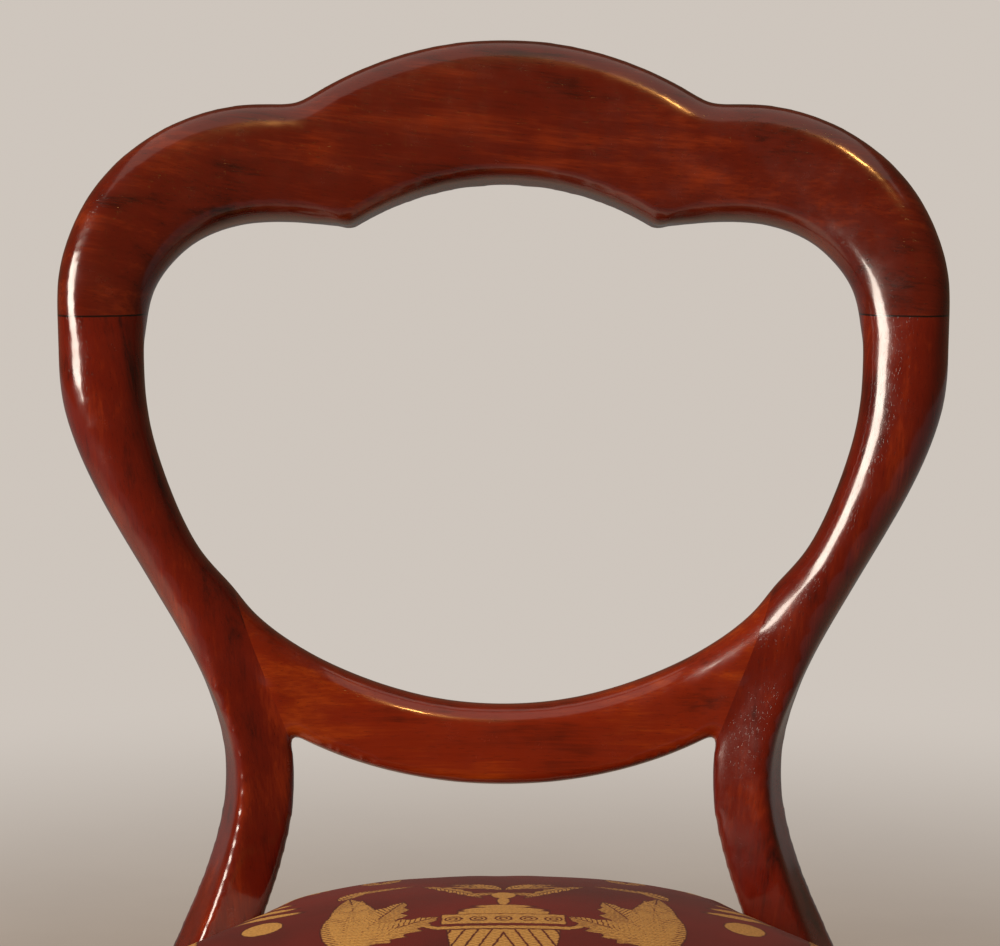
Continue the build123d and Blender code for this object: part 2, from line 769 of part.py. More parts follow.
def evenly(count, pitch, middle=0.0):
    """Places a pitch apart, on both sides of a middle."""
    return [middle + (index - (count - 1) / 2) * pitch for index in range(count)]


column_places = evenly(webbing_columns, webbing_column_pitch)
row_places = evenly(webbing_rows, webbing_row_pitch, webbing_middle_row)
lengthwise, crosswise, webbing_tack_places = [], [], []
tack_inset = webbing_inset + webbing_fold / 2
tack_offsets = evenly(webbing_tacks, webbing_tack_pitch)
for index, x in enumerate(column_places):
    points = strip_profile(row_places, index % 2 == 0, beyond)
    lengthwise.append(webbing_strip(Vector(x, 0), Vector(0, 1), points))
    for offset in tack_offsets:
        webbing_tack_places.append((x + offset, front_y(x + offset, tack_inset)))
        webbing_tack_places.append((x + offset, seat_back - tack_inset))
for index, y in enumerate(row_places):
    points = strip_profile(column_places, index % 2 == 1, beyond)
    crosswise.append(webbing_strip(Vector(0, y), Vector(1, 0), points))
    for offset in tack_offsets:
        for side in (-1, 1):
            webbing_tack_places.append((side * side_x(y + offset, tack_inset), y + offset))


# ---- tacks ----
def tack(head_level, point, upwards, growth=0.0):
    """A cut tack with its head's inner face at a level, driven up or down."""
    way = 1 if upwards else -1
    head = extrude(RegularPolygon(tack_head_radius, tack_head_sides), amount=-way * tack_head_thickness)
    shank = Pos(0, 0, way * tack_length / 2) * Box(
        tack_shank + 2 * growth, tack_shank + 2 * growth, tack_length + 2 * growth
    )
    return Pos(point[0], point[1], head_level) * (head + shank if growth == 0 else shank)


def hem_tack_places():
    """Along the hem, wherever the whole head lies under a rail."""
    line = seat_plan(rail_inset + hem_tack_margin).face().outer_wire()
    count = round(line.length / hem_tack_spacing)
    places = []
    for index in range(count):
        point = line.position_at((index + 0.5) / count)
        if point.X < tack_head_radius:
            continue
        for rail in whole_rails:
            around = [
                Vector(point.X + dx, point.Y + dy, seat_rail_bottom + 1)
                for dx in (-tack_head_radius, tack_head_radius)
                for dy in (-tack_head_radius, tack_head_radius)
            ]
            if all(rail.is_inside(spot) for spot in around):
                places += [(point.X, point.Y), (-point.X, point.Y)]
    return places


strip_top = seat_rail_top + 2 * webbing_thickness
hem_places = hem_tack_places()
strip_tacks = [tack(strip_top, point, False) for point in webbing_tack_places]
strip_tack_holes = [tack(strip_top, point, False, tack_clearance) for point in webbing_tack_places]
hem_tacks = [tack(hem_bottom, point, True) for point in hem_places]
hem_tack_holes = [tack(hem_bottom, point, True, tack_clearance) for point in hem_places]

# ---- upholstery, from the hessian out ----
uprights_with_room = Compound([fat_upright, mirrored(fat_upright)])
hessian = plan_block(rail_inset + hessian_margin, hessian_level, hessian_level + hessian_thickness)
first_stuffing = seat_form(first_stuffing_inset, stuffing_level, True)
scrim = seat_form(scrim_inset, stuffing_level, True) - seat_form(
    scrim_inset + scrim_thickness, stuffing_level - overrun, True
)
second_stuffing = seat_form(rail_inset, stuffing_level) - seat_form(
    rail_inset + second_stuffing_thickness, stuffing_level - overrun, True
)
wadding = seat_form(wadding_inset, seat_rail_bottom) - seat_form(
    wadding_inset + wadding_thickness, seat_rail_bottom - overrun
)
seat_cover = seat_form(0.0, hem_bottom) - seat_form(cover_thickness, hem_bottom + cover_thickness)
seat_cover -= plan_block(rail_inset + hem_width, hem_bottom - overrun, hem_bottom + overrun)
collar = Cylinder(leg_collar_radius + leg_clearance, seat_rail_height)
for side in (-1, 1):
    seat_cover -= Pos(side * leg_x, leg_y, hem_bottom) * collar


def without(shape, cutters):
    for cutter in cutters:
        shape = shape - cutter
    return shape


def mirror_cut(shape, cutters):
    """Cuts a part that lies across the centre plane by the cutters of the right side and the left."""
    return without(shape, both_sides(cutters))


soft_layers = {
    "hessian": hessian,
    "first_stuffing": first_stuffing,
    "scrim": scrim,
    "second_stuffing": second_stuffing,
    "wadding": wadding,
    "seat_cover": seat_cover,
}
pieces = {name: layer - uprights_with_room for name, layer in soft_layers.items()}
pieces["seat_cover"] = pieces["seat_cover"] - Compound(hem_tack_holes)
right_upright = without(right_upright, crest_holes + splice_holes + back_holes + side_holes + right_screws)
right_leg = without(right_leg, front_holes + side_holes + right_screws)
tack_holes = Compound(strip_tack_holes + hem_tack_holes)
right_rail = without(right_rail, side_holes) - tack_holes
pieces |= {
    "crest_rail": mirror_cut(crest_rail, crest_holes),
    "cross_rail": mirror_cut(cross_rail, splice_holes),
    "right_upright": right_upright,
    "left_upright": mirrored(right_upright),
    "right_front_leg": right_leg,
    "left_front_leg": mirrored(right_leg),
    "front_seat_rail": mirror_cut(front_rail, front_holes) - tack_holes,
    "back_seat_rail": mirror_cut(back_rail, back_holes + right_screws) - tack_holes,
    "right_seat_rail": right_rail,
    "left_seat_rail": mirrored(right_rail),
    "front_right_corner_block": without(right_front_block, right_screws),
    "rear_right_corner_block": without(right_back_block, right_screws),
    "crest_dowels": Compound(both_sides(crest_dowels)),
    "cross_rail_dowels": Compound(both_sides(splice_dowels)),
    "front_rail_dowels": Compound(both_sides(front_dowels)),
    "back_rail_dowels": Compound(both_sides(back_dowels)),
    "side_rail_dowels": Compound(both_sides(side_dowels)),
    "corner_block_screws": Compound(both_sides(right_screws)),
    "webbing_tacks": Compound(strip_tacks),
    "cover_tacks": Compound(hem_tacks),
}
pieces["front_left_corner_block"] = mirrored(pieces["front_right_corner_block"])
pieces["rear_left_corner_block"] = mirrored(pieces["rear_right_corner_block"])
for number, strip in enumerate(lengthwise, 1):
    pieces[f"webbing_lengthwise_{number}"] = strip - Compound(strip_tack_holes)
for number, strip in enumerate(crosswise, 1):
    pieces[f"webbing_crosswise_{number}"] = strip - Compound(strip_tack_holes)

# ---- the whole chair, with the middle of its box over the origin, and its files ----
box = Compound(list(pieces.values())).bounding_box()
to_centre = Pos(0, -box.center().Y, 0)
os.makedirs("parts", exist_ok=True)
for name, piece in pieces.items():
    export_step(to_centre * piece, f"parts/{name}.step")
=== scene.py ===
"""Finishes, upholstery and studio of a balloon back dining chair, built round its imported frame.

Lengths in the classes are millimetres. MM turns them into Blender's metres.
"""

import logging
import math
from dataclasses import dataclass
from enum import Enum
from typing import Any

import bmesh
import bpy
import numpy as np
from mathutils import Euler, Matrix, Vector
from mathutils.bvhtree import BVHTree


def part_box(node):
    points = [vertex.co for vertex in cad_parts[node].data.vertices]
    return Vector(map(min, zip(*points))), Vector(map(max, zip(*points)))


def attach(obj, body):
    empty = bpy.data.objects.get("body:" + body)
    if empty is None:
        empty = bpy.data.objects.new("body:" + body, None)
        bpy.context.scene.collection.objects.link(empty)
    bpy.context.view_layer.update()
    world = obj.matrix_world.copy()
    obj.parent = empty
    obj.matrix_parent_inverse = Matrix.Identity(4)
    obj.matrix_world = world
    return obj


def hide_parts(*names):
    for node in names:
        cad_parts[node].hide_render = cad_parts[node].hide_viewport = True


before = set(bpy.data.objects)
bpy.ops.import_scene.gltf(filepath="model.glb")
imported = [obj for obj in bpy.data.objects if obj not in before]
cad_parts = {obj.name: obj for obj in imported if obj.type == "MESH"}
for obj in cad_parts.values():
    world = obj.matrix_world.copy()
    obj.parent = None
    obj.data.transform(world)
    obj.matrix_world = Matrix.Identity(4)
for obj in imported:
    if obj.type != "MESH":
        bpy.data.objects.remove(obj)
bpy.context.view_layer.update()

MM = 0.001
WELD = 0.002  # in millimetres, for the doubled points of a CAD mesh
log = logging.getLogger("chair")

Socket = bpy.types.NodeSocket
Tree = bpy.types.NodeTree
Colour = tuple[float, float, float, float]
Triple = tuple[float, float, float]


# ---- colours and shader nodes ----
def linear(code: str) -> Colour:
    """Turns an sRGB hex value into linear light.

    Args:
        code: The colour, such as "#6e1d0c".

    Returns:
        Red, green, blue and an opacity of one.
    """
    shares = [int(code[start : start + 2], 16) / 255 for start in (1, 3, 5)]
    red, green, blue = [
        share / 12.92 if share <= 0.04045 else ((share + 0.055) / 1.055) ** 2.4 for share in shares
    ]
    return red, green, blue, 1.0


def add(tree: Tree, kind: str, sockets: dict | None = None, **settings: Any) -> bpy.types.Node:
    """Adds one node with its settings and links.

    Args:
        tree: The node tree that it goes into.
        kind: Blender's name for the kind of node, without its prefix.
        sockets: For an input's name or number, the value or the output that feeds it.
        settings: The node's own properties.

    Returns:
        The new node.
    """
    made = tree.nodes.new(f"ShaderNode{kind}")
    for name, value in settings.items():
        setattr(made, name, value)
    for key, value in (sockets or {}).items():
        if isinstance(value, Socket):
            tree.links.new(value, made.inputs[key])
        else:
            made.inputs[key].default_value = value
    return made


def math_of(tree: Tree, operation: str, *values: Socket | float) -> Socket:
    """Adds one step of arithmetic and returns its result."""
    return add(tree, "Math", dict(enumerate(values)), operation=operation).outputs[0]


def mixed(tree: Tree, share: Socket | float, first: Socket | Colour, second: Socket | Colour) -> Socket:
    """Mixes two colours.

    Args:
        tree: The node tree.
        share: How much of the second colour shows.
        first: The lower colour.
        second: The upper colour.

    Returns:
        The mixed colour.
    """
    return add(tree, "Mix", {0: share, 6: first, 7: second}, data_type="RGBA").outputs[2]


def ramp(tree: Tree, value: Socket, stops: list[tuple[float, str]], how: str = "LINEAR") -> Socket:
    """Turns a value into a colour by a list of stops.

    Args:
        tree: The node tree.
        value: The value that drives the ramp.
        stops: Places from 0 to 1 and the hex colour at each.
        how: Blender's name for the change between stops.

    Returns:
        The ramp's colour.
    """
    node = add(tree, "ValToRGB", {0: value})
    bar = node.color_ramp
    bar.interpolation = how
    while len(bar.elements) < len(stops):
        bar.elements.new(0.5)
    for element, (place, code) in zip(bar.elements, stops):
        element.position = place
        element.color = linear(code)
    return node.outputs[0]


def share_of(tree: Tree, value: Socket, low: float, high: float) -> Socket:
    """0 where the value is below low, 1 above high, and a smooth change between them."""
    return add(tree, "MapRange", {0: value, 1: low, 2: high}, interpolation_type="SMOOTHSTEP").outputs[0]


def own_place(tree: Tree) -> Socket:
    """The object's own coordinates, in millimetres."""
    place = add(tree, "TexCoord").outputs["Object"]
    return add(tree, "Mapping", {0: place, 3: (1 / MM, 1 / MM, 1 / MM)}).outputs[0]


def stretched(tree: Tree, size: Triple, turn: Triple = (0, 0, 0)) -> Socket:
    """The object's own coordinates, turned and then divided by a size.

    Args:
        tree: The node tree.
        size: What one unit measures along the turned axes, in millimetres.
        turn: Degrees about the three axes.

    Returns:
        The coordinates.
    """
    turned = add(tree, "Mapping", {0: own_place(tree), 2: tuple(math.radians(angle) for angle in turn)})
    scale = tuple(1 / length for length in size)
    return add(tree, "Mapping", {0: turned.outputs[0], 3: scale}).outputs[0]


def clouds(
    tree: Tree, where: Socket, detail: float = 2.0, roughness: float = 0.5, warp: float = 0.0
) -> Socket:
    """Soft noise from 0 to 1, with lumps about one unit apart."""
    sockets = {"Vector": where, "Scale": 1.0, "Detail": detail, "Roughness": roughness, "Distortion": warp}
    return add(tree, "TexNoise", sockets).outputs[0]


def threads(tree: Tree, where: Socket, pitch: tuple[float, float]) -> Socket:
    """Height of a plain weave from 0 to 1.

    Args:
        tree: The node tree.
        where: Coordinates in millimetres, with the threads along x and y.
        pitch: Distance between threads along x and along y.

    Returns:
        The height.
    """
    parts = add(tree, "SeparateXYZ", {0: where})
    waves = [
        math_of(tree, "SINE", math_of(tree, "MULTIPLY", parts.outputs[axis], math.pi / step))
        for axis, step in enumerate(pitch)
    ]
    both = math_of(tree, "MULTIPLY", *waves)
    return math_of(tree, "MULTIPLY_ADD", both, 0.5, 0.5)


def bumped(tree: Tree, height: Socket, depth: float, before: Socket | None = None) -> Socket:
    """Turns a height into a bent normal.

    Args:
        tree: The node tree.
        height: The height, from 0 to 1.
        depth: How far 0 and 1 lie apart, in millimetres.
        before: A bent normal that this one adds to.

    Returns:
        The new normal.
    """
    sockets = {"Height": height, "Distance": depth * MM, "Strength": 1.0}
    if before is not None:
        sockets["Normal"] = before
    return add(tree, "Bump", sockets).outputs[0]


def new_material(name: str) -> tuple[bpy.types.Material, Tree, bpy.types.Node]:
    """Starts a material.

    Args:
        name: The material's name.

    Returns:
        The material, its node tree and its shader.
    """
    material = bpy.data.materials.new(name)
    material.use_nodes = True
    tree = material.node_tree
    tree.nodes.clear()
    shader = add(tree, "BsdfPrincipled")
    add(tree, "OutputMaterial", {0: shader.outputs[0]})
    return material, tree, shader


def plug(tree: Tree, shader: bpy.types.Node, **sources: Socket) -> None:
    """Feeds a shader's inputs, with _ in a name for a space."""
    for name, source in sources.items():
        tree.links.new(source, shader.inputs[name.replace("_", " ")])


# ---- finishes of wood and metal ----
class Grain(Enum):
    """The axis along which a piece's grain runs."""

    ACROSS = 0
    BACKWARD = 1
    UP = 2

    def size(self, length: float, width: float) -> Triple:
        """What a streak of that length and width measures along x, y and z."""
        return tuple(length if axis == self.value else width for axis in range(3))


@dataclass(frozen=True)
class PolishedMahogany:
    """Sawn and carved mahogany under old French polish: deep, glossy and softly streaked along the grain."""

    name: str
    grain: Grain
    dark: str = "#3a0c05"
    middle: str = "#6e1b09"
    light: str = "#96330f"
    slope: float = 0.0  # degrees by which the grain runs off the piece's length
    joint_height: float = -1.0  # of a glue line that shows as a dark hair
    joint_edges: tuple[float, float] = (0.7, 0.2)  # from its middle, where the line ends and where it is full
    glue: str = "#140403"
    figure: tuple[float, float] = (170.0, 15.0)  # length and width of a ribbon in the wood
    fibre: tuple[float, float] = (34.0, 1.5)
    pore: tuple[float, float] = (7.0, 0.55)  # real pores are finer, and this is as fine as the render shows
    mottle: float = 46.0
    smear: float = 22.0  # size of the duller patches in the polish
    figure_share: float = 0.5
    fibre_share: float = 0.22
    mottle_share: float = 0.4
    tone_drop: float = 0.06
    pore_cut: tuple[float, float] = (0.62, 0.74)  # of the noise, where a pore opens
    pore_darkness: float = 0.4
    pore_depth: float = 0.02
    fibre_relief: float = 0.01
    roughness: float = 0.2
    coat: float = 0.6
    coat_roughness: float = 0.08
    ior: float = 1.5

    def make(self) -> bpy.types.Material:
        """Builds the material.

        Returns:
            The finished material.
        """
        material, tree, shader = new_material(self.name)
        turn = (0, self.slope, 0)
        figure, fibre, pores = [
            clouds(tree, stretched(tree, self.grain.size(*size), turn), detail, 0.55, warp)
            for size, detail, warp in ((self.figure, 3, 0.7), (self.fibre, 3, 0.2), (self.pore, 1, 0))
        ]
        mottle = clouds(tree, stretched(tree, (self.mottle,) * 3), 3, 0.55)
        tone = math_of(tree, "MULTIPLY", figure, self.figure_share)
        tone = math_of(tree, "MULTIPLY_ADD", fibre, self.fibre_share, tone)
        tone = math_of(tree, "SUBTRACT", tone, self.tone_drop)
        tone = math_of(tree, "MULTIPLY_ADD", mottle, self.mottle_share, tone)
        wood = ramp(tree, tone, [(0.3, self.dark), (0.5, self.middle), (0.72, self.light)], "EASE")
        pore = share_of(tree, pores, *self.pore_cut)
        wood = mixed(tree, math_of(tree, "MULTIPLY", pore, self.pore_darkness), wood, linear(self.dark))
        if self.joint_height > 0:
            height = add(tree, "SeparateXYZ", {0: own_place(tree)}).outputs["Z"]
            away = math_of(tree, "ABSOLUTE", math_of(tree, "SUBTRACT", height, self.joint_height))
            wood = mixed(tree, share_of(tree, away, *self.joint_edges), wood, linear(self.glue))
        smears = clouds(tree, stretched(tree, (self.smear,) * 3), 5, 0.65)
        spread = {0: smears, 1: 0.35, 2: 0.75, 3: self.roughness - 0.05, 4: self.roughness + 0.12}
        rough = add(tree, "MapRange", spread).outputs[0]
        relief = bumped(tree, fibre, self.fibre_relief, bumped(tree, pore, -self.pore_depth))
        plug(tree, shader, Base_Color=wood, Roughness=rough, Normal=relief)
        shader.inputs["IOR"].default_value = self.ior
        shader.inputs["Coat Weight"].default_value = self.coat
        shader.inputs["Coat Roughness"].default_value = self.coat_roughness
        return material


@dataclass(frozen=True)
class RawBeech:
    """Sawn and planed beech, never polished: pale and dry, with short dark flecks."""

    name: str
    grain: Grain
    dark: str = "#8a6544"
    light: str = "#c69c70"
    fleck: tuple[float, float] = (5.0, 0.7)  # real flecks are thinner
    fleck_colour: str = "#6b4628"
    fleck_cut: tuple[float, float] = (0.6, 0.7)
    fleck_darkness: float = 0.45
    fleck_depth: float = 0.05
    streak: tuple[float, float] = (180.0, 14.0)
    stain: float = 60.0
    saw_mark: tuple[float, float] = (2.2, 90.0)  # pitch along the grain, and length across it
    saw_depth: float = 0.12
    roughness: float = 0.75

    def make(self) -> bpy.types.Material:
        """Builds the material.

        Returns:
            The finished material.
        """
        material, tree, shader = new_material(self.name)
        broad = clouds(tree, stretched(tree, self.grain.size(*self.streak)), 4, 0.6, 0.4)
        flecks = clouds(tree, stretched(tree, self.grain.size(*self.fleck)), 1, 0.5)
        stain = clouds(tree, stretched(tree, (self.stain,) * 3), 4, 0.6)
        tone = math_of(tree, "MULTIPLY_ADD", stain, 0.5, math_of(tree, "MULTIPLY", broad, 0.5))
        wood = ramp(tree, tone, [(0.35, self.dark), (0.65, self.light)])
        spot = math_of(tree, "MULTIPLY", share_of(tree, flecks, *self.fleck_cut), self.fleck_darkness)
        wood = mixed(tree, spot, wood, linear(self.fleck_colour))
        sawn = clouds(tree, stretched(tree, self.grain.size(*self.saw_mark)), 1)
        relief = bumped(tree, flecks, self.fleck_depth, bumped(tree, sawn, self.saw_depth))
        plug(tree, shader, Base_Color=wood, Normal=relief)
        shader.inputs["Roughness"].default_value = self.roughness
        return material


@dataclass(frozen=True)
class DrawnSteel:
    """Steel of old screws and tacks: turned or cut, then dull or blued by heat."""

    name: str
    code: str
    worn: str
    roughness: float
    spot: float = 1.6
    scratch: Triple = (0.25, 3.0, 3.0)
    scratch_depth: float = 0.02

    def make(self) -> bpy.types.Material:
        """Builds the material.

        Returns:
            The finished material.
        """
        material, tree, shader = new_material(self.name)
        spots = clouds(tree, stretched(tree, (self.spot,) * 3), 4, 0.6)
        scratches = clouds(tree, stretched(tree, self.scratch), 2)
        metal = ramp(tree, spots, [(0.35, self.worn), (0.6, self.code)])
        spread = {0: spots, 3: self.roughness + 0.15, 4: self.roughness - 0.05}
        rough = add(tree, "MapRange", spread).outputs[0]
        relief = bumped(tree, scratches, self.scratch_depth)
        plug(tree, shader, Base_Color=metal, Roughness=rough, Normal=relief)
        shader.inputs["Metallic"].default_value = 1.0
        return material


# ---- finishes of cloth and stuffing ----
@dataclass(frozen=True)
class PlainCloth:
    """Coarse jute or linen in plain weave: dry and uneven, with shadow between its threads."""

    name: str
    dark: str
    light: str
    pitch: tuple[float, float]  # between threads, drawn wider than the real ones so that they show
    relief: float = 0.4
    slub: tuple[float, float] = (6.0, 0.8)  # length and width of a thick place in the yarn, in threads
    slub_height: float = 9.0
    slub_relief: float = 0.15

    def make(self) -> bpy.types.Material:
        """Builds the material.

        Returns:
            The finished material.
        """
        material, tree, shader = new_material(self.name)
        length, width = [self.pitch[0] * share for share in self.slub]
        uneven = clouds(tree, stretched(tree, (length, width, self.slub_height)), 3, 0.6)
        weave = threads(tree, own_place(tree), self.pitch)
        tone = math_of(tree, "MULTIPLY_ADD", uneven, 0.5, math_of(tree, "MULTIPLY", weave, 0.5))
        cloth = ramp(tree, tone, [(0.3, self.dark), (0.62, self.light)])
        relief = bumped(tree, uneven, self.slub_relief, bumped(tree, weave, self.relief))
        plug(tree, shader, Base_Color=cloth, Normal=relief)
        shader.inputs["Roughness"].default_value = 0.95
        shader.inputs["Sheen Weight"].default_value = 0.2
        return material


@dataclass(frozen=True)
class LooseFibre:
    """Curled horsehair or felted cotton: a mass of crossing fibres."""

    name: str
    dark: str
    light: str
    fibre: tuple[float, float]  # length and thickness, thicker than the real ones so that they show
    turns: tuple[float, float] = (35.0, 20.0)  # degrees, of the two layers of fibre
    curl: float = 2.5
    relief: float = 0.8

    def make(self) -> bpy.types.Material:
        """Builds the material.

        Returns:
            The finished material.
        """
        material, tree, shader = new_material(self.name)
        length, width = self.fibre
        layers = [
            clouds(tree, stretched(tree, size, (0, 0, turn)), 2, 0.6, self.curl)
            for size, turn in zip(((length, width, width), (width, length, width)), self.turns)
        ]
        both = math_of(tree, "MAXIMUM", *layers)
        mass = ramp(tree, both, [(0.45, self.dark), (0.7, self.light)])
        plug(tree, shader, Base_Color=mass, Normal=bumped(tree, both, self.relief))
        shader.inputs["Roughness"].default_value = 0.9
        shader.inputs["Sheen Weight"].default_value = 0.3
        return material


@dataclass(frozen=True)
class Leaf:
    """A woven leaf: where it starts, the way it points in degrees, and its size."""

    start: tuple[float, float]
    turn: float
    length: float
    width: float
    curl: float = 0.0  # how far its tip bends to its left
    lobe: float = 0.0  # length of the lobes along its edge


@dataclass(frozen=True)
class Oval:
    """A woven oval: its middle, its half sizes and its turn in degrees."""

    x: float
    y: float
    wide: float
    high: float
    turn: float = 0.0


@dataclass(frozen=True)
class Band:
    """A woven band round the urn: its middle, half width and half height."""

    middle: float
    wide: float
    high: float
    rosettes: bool = False


@dataclass(frozen=True)
class CrimsonDamask:
    """Damask woven in two yarns: a smooth crimson satin ground and raised gold urns, leaves and scrolls.

    The pattern is mirrored about the middle of the seat and again half a width further out.
    """

    name: str = "crimson_damask"
    ground_dark: str = "#4c0d06"
    ground: str = "#70150b"
    gold_dark: str = "#8f6427"
    gold: str = "#cf9f55"
    half_width: float = 108.0
    repeat: float = 232.0
    low: float = -157.0  # where a repeat starts, from front to back
    rib_pitch: float = 1.1  # of the weave, coarser than the real one so that it shows
    vein_pitch: float = 3.0
    vein_width: float = 0.75
    soft_edge: float = 0.45
    satin_relief: float = 0.05
    gold_relief: float = 0.16
    edge_shadow: float = 0.5  # beside the raised gold yarn
    ground_shadow: str = "#2c0605"
    leaves: tuple[Leaf, ...] = (
        # beside the bulb on the lid, and above it
        Leaf((2, 1), -12, 17, 6, -1),
        Leaf((1, 10), 62, 24, 7, -3),
        Leaf((1, 12), 32, 28, 7, -6, 7),
        Leaf((2, 22), 8, 24, 6, 4, 6),
        # the tall flower, its petals and the leaves round it
        Leaf((68, -92), 83, 92, 20, 14),
        Leaf((66, -90), 92, 98, 22, -9),
        Leaf((70, -88), 108, 80, 24, 0, 13),
        Leaf((72, -84), 132, 58, 26, 6, 11),
        Leaf((72, -80), 160, 40, 20, -8, 9),
        Leaf((70, -96), 205, 38, 18, -8, 9),
        # the scroll that arches back to the urn
        Leaf((76, 6), 108, 26, 9, 5),
        Leaf((74, 18), 148, 34, 6, 6),
        Leaf((38, 27), 222, 46, 9, 9, 8),
        # sprays behind it
        Leaf((108, 40), 140, 42, 16, -8, 9),
        Leaf((108, 52), 112, 34, 12, -4, 8),
        Leaf((60, 52), 62, 26, 9, 5, 6),
        Leaf((60, 52), 120, 26, 9, -5, 6),
        # at the foot of the urn
        Leaf((4, -140), 28, 30, 11, 8, 8),
        Leaf((30, -118), 10, 30, 9, 10, 8),
    )
    ovals: tuple[Oval, ...] = (
        # the urn's foot, its lid and the bulb on top
        Oval(0, -150, 17, 4),
        Oval(0, -141, 5, 10),
        Oval(0, -131, 10, 3.5),
        Oval(0, -4, 5.5, 7),
        Oval(0, -17, 2.6, 8),
        Oval(0, -28, 12, 2.6),
        Oval(0, -35, 18, 5),
        # its handle, and the medallion between two urns with the caps over it
        Oval(31, -62, 4.5, 1.8, 35),
        Oval(108, -33, 9, 11),
        Oval(108, -10, 15, 3.4),
        Oval(108, 2, 12, 3.2),
        Oval(108, 14, 9, 3.0),
    )
    body: Oval = Oval(0, -66, 24, 62)
    body_top: float = -67.0
    bands: tuple[Band, ...] = (Band(-63.5, 29, 2.0), Band(-50, 27, 7.5, True), Band(-39.5, 20, 2.2))
    flute: tuple[float, float] = (3.0, 0.5)  # half the pitch and half the gap of the urn's flutes
    flute_slant: float = 0.25
    rosette_pitch: float = 11.0
    rosette_radii: tuple[float, float] = (3.6, 1.6)
    rosette_line: float = 0.45  # half the width of a rosette's lines
    vein_slant: float = 1.1
    tooth_slant: float = 0.8
    tooth: tuple[float, float] = (0.4, 0.68)  # share of a leaf's width in its lobes, and in the rest
    waver_scale: float = 0.35
    waver: float = 1.3  # the range over which the drawing strays, as a woven edge does
    shade_scale: float = 0.012
    yarn_scale: float = 0.9
    shadow_edges: tuple[float, float] = (0.6, 0.1)
    roughness: tuple[float, float] = (0.6, 0.8)  # of the satin and of the gold

    def place(self, tree: Tree) -> Socket:
        """Folds the cloth's own coordinates into one half of a repeat.

        Args:
            tree: The node tree.

        Returns:
            The coordinates, in millimetres.
        """
        cloth = add(tree, "Attribute", attribute_name="cloth").outputs["Vector"]
        sockets = {"Vector": cloth, "Scale": self.waver_scale, "Detail": 1.0}
        ripple = add(tree, "TexNoise", sockets).outputs["Color"]
        ripple = add(tree, "VectorMath", {0: ripple, 1: (0.5, 0.5, 0.5)}, operation="SUBTRACT").outputs[0]
        ripple = add(tree, "VectorMath", {0: ripple, "Scale": self.waver}, operation="SCALE").outputs[0]
        cloth = add(tree, "VectorMath", {0: cloth, 1: ripple}, operation="ADD").outputs[0]
        parts = add(tree, "SeparateXYZ", {0: cloth})
        across = math_of(tree, "PINGPONG", parts.outputs[0], self.half_width)
        along = math_of(tree, "WRAP", parts.outputs[1], self.low, self.low + self.repeat)
        return add(tree, "CombineXYZ", {0: across, 1: along}).outputs[0]

    def leaf(self, tree: Tree, place: Socket, leaf: Leaf) -> Socket:
        """How deep a point lies inside a leaf, with its veins left out.

        Args:
            tree: The node tree.
            place: The point's place within the repeat.
            leaf: The leaf.

        Returns:
            The depth, in millimetres.
        """
        sockets = {0: place, 1: (*leaf.start, 0), 2: (0, 0, math.radians(leaf.turn))}
        turned = add(tree, "Mapping", sockets, vector_type="TEXTURE").outputs[0]
        parts = add(tree, "SeparateXYZ", {0: turned})
        along = parts.outputs[0]
        share = math_of(tree, "DIVIDE", along, leaf.length)
        rest = math_of(tree, "SUBTRACT", 1.0, share)
        bend = math_of(tree, "MULTIPLY", math_of(tree, "MULTIPLY", share, share), leaf.curl)
        across = math_of(tree, "ABSOLUTE", math_of(tree, "SUBTRACT", parts.outputs[1], bend))
        swell = math_of(tree, "MULTIPLY", math_of(tree, "MULTIPLY", share, rest), 2 * leaf.width)
        if leaf.lobe:
            shifted = math_of(tree, "MULTIPLY_ADD", across, -self.tooth_slant, along)
            tooth = math_of(tree, "DIVIDE", math_of(tree, "PINGPONG", shifted, leaf.lobe / 2), leaf.lobe / 2)
            swell = math_of(tree, "MULTIPLY", swell, math_of(tree, "MULTIPLY_ADD", tooth, *self.tooth))
        inside = math_of(tree, "SUBTRACT", swell, across)
        slant = math_of(tree, "MULTIPLY_ADD", across, -self.vein_slant, along)
        vein = math_of(tree, "PINGPONG", slant, self.vein_pitch / 2)
        vein = math_of(tree, "SUBTRACT", vein, self.vein_width / 2)
        rib = math_of(tree, "SUBTRACT", across, self.vein_width / 2)
        return math_of(tree, "MINIMUM", inside, math_of(tree, "MINIMUM", vein, rib))

    def oval(self, tree: Tree, place: Socket, oval: Oval) -> Socket:
        """How deep a point lies inside an oval.

        Args:
            tree: The node tree.
            place: The point's place within the repeat.
            oval: The oval.

        Returns:
            The depth, in millimetres.
        """
        turn = (0, 0, math.radians(oval.turn))
        sockets = {0: place, 1: (oval.x, oval.y, 0), 2: turn, 3: (oval.wide, oval.high, 1)}
        scaled = add(tree, "Mapping", sockets, vector_type="TEXTURE").outputs[0]
        reach = add(tree, "VectorMath", {0: scaled}, operation="LENGTH").outputs["Value"]
        return math_of(tree, "MULTIPLY", math_of(tree, "SUBTRACT", 1.0, reach), min(oval.wide, oval.high))

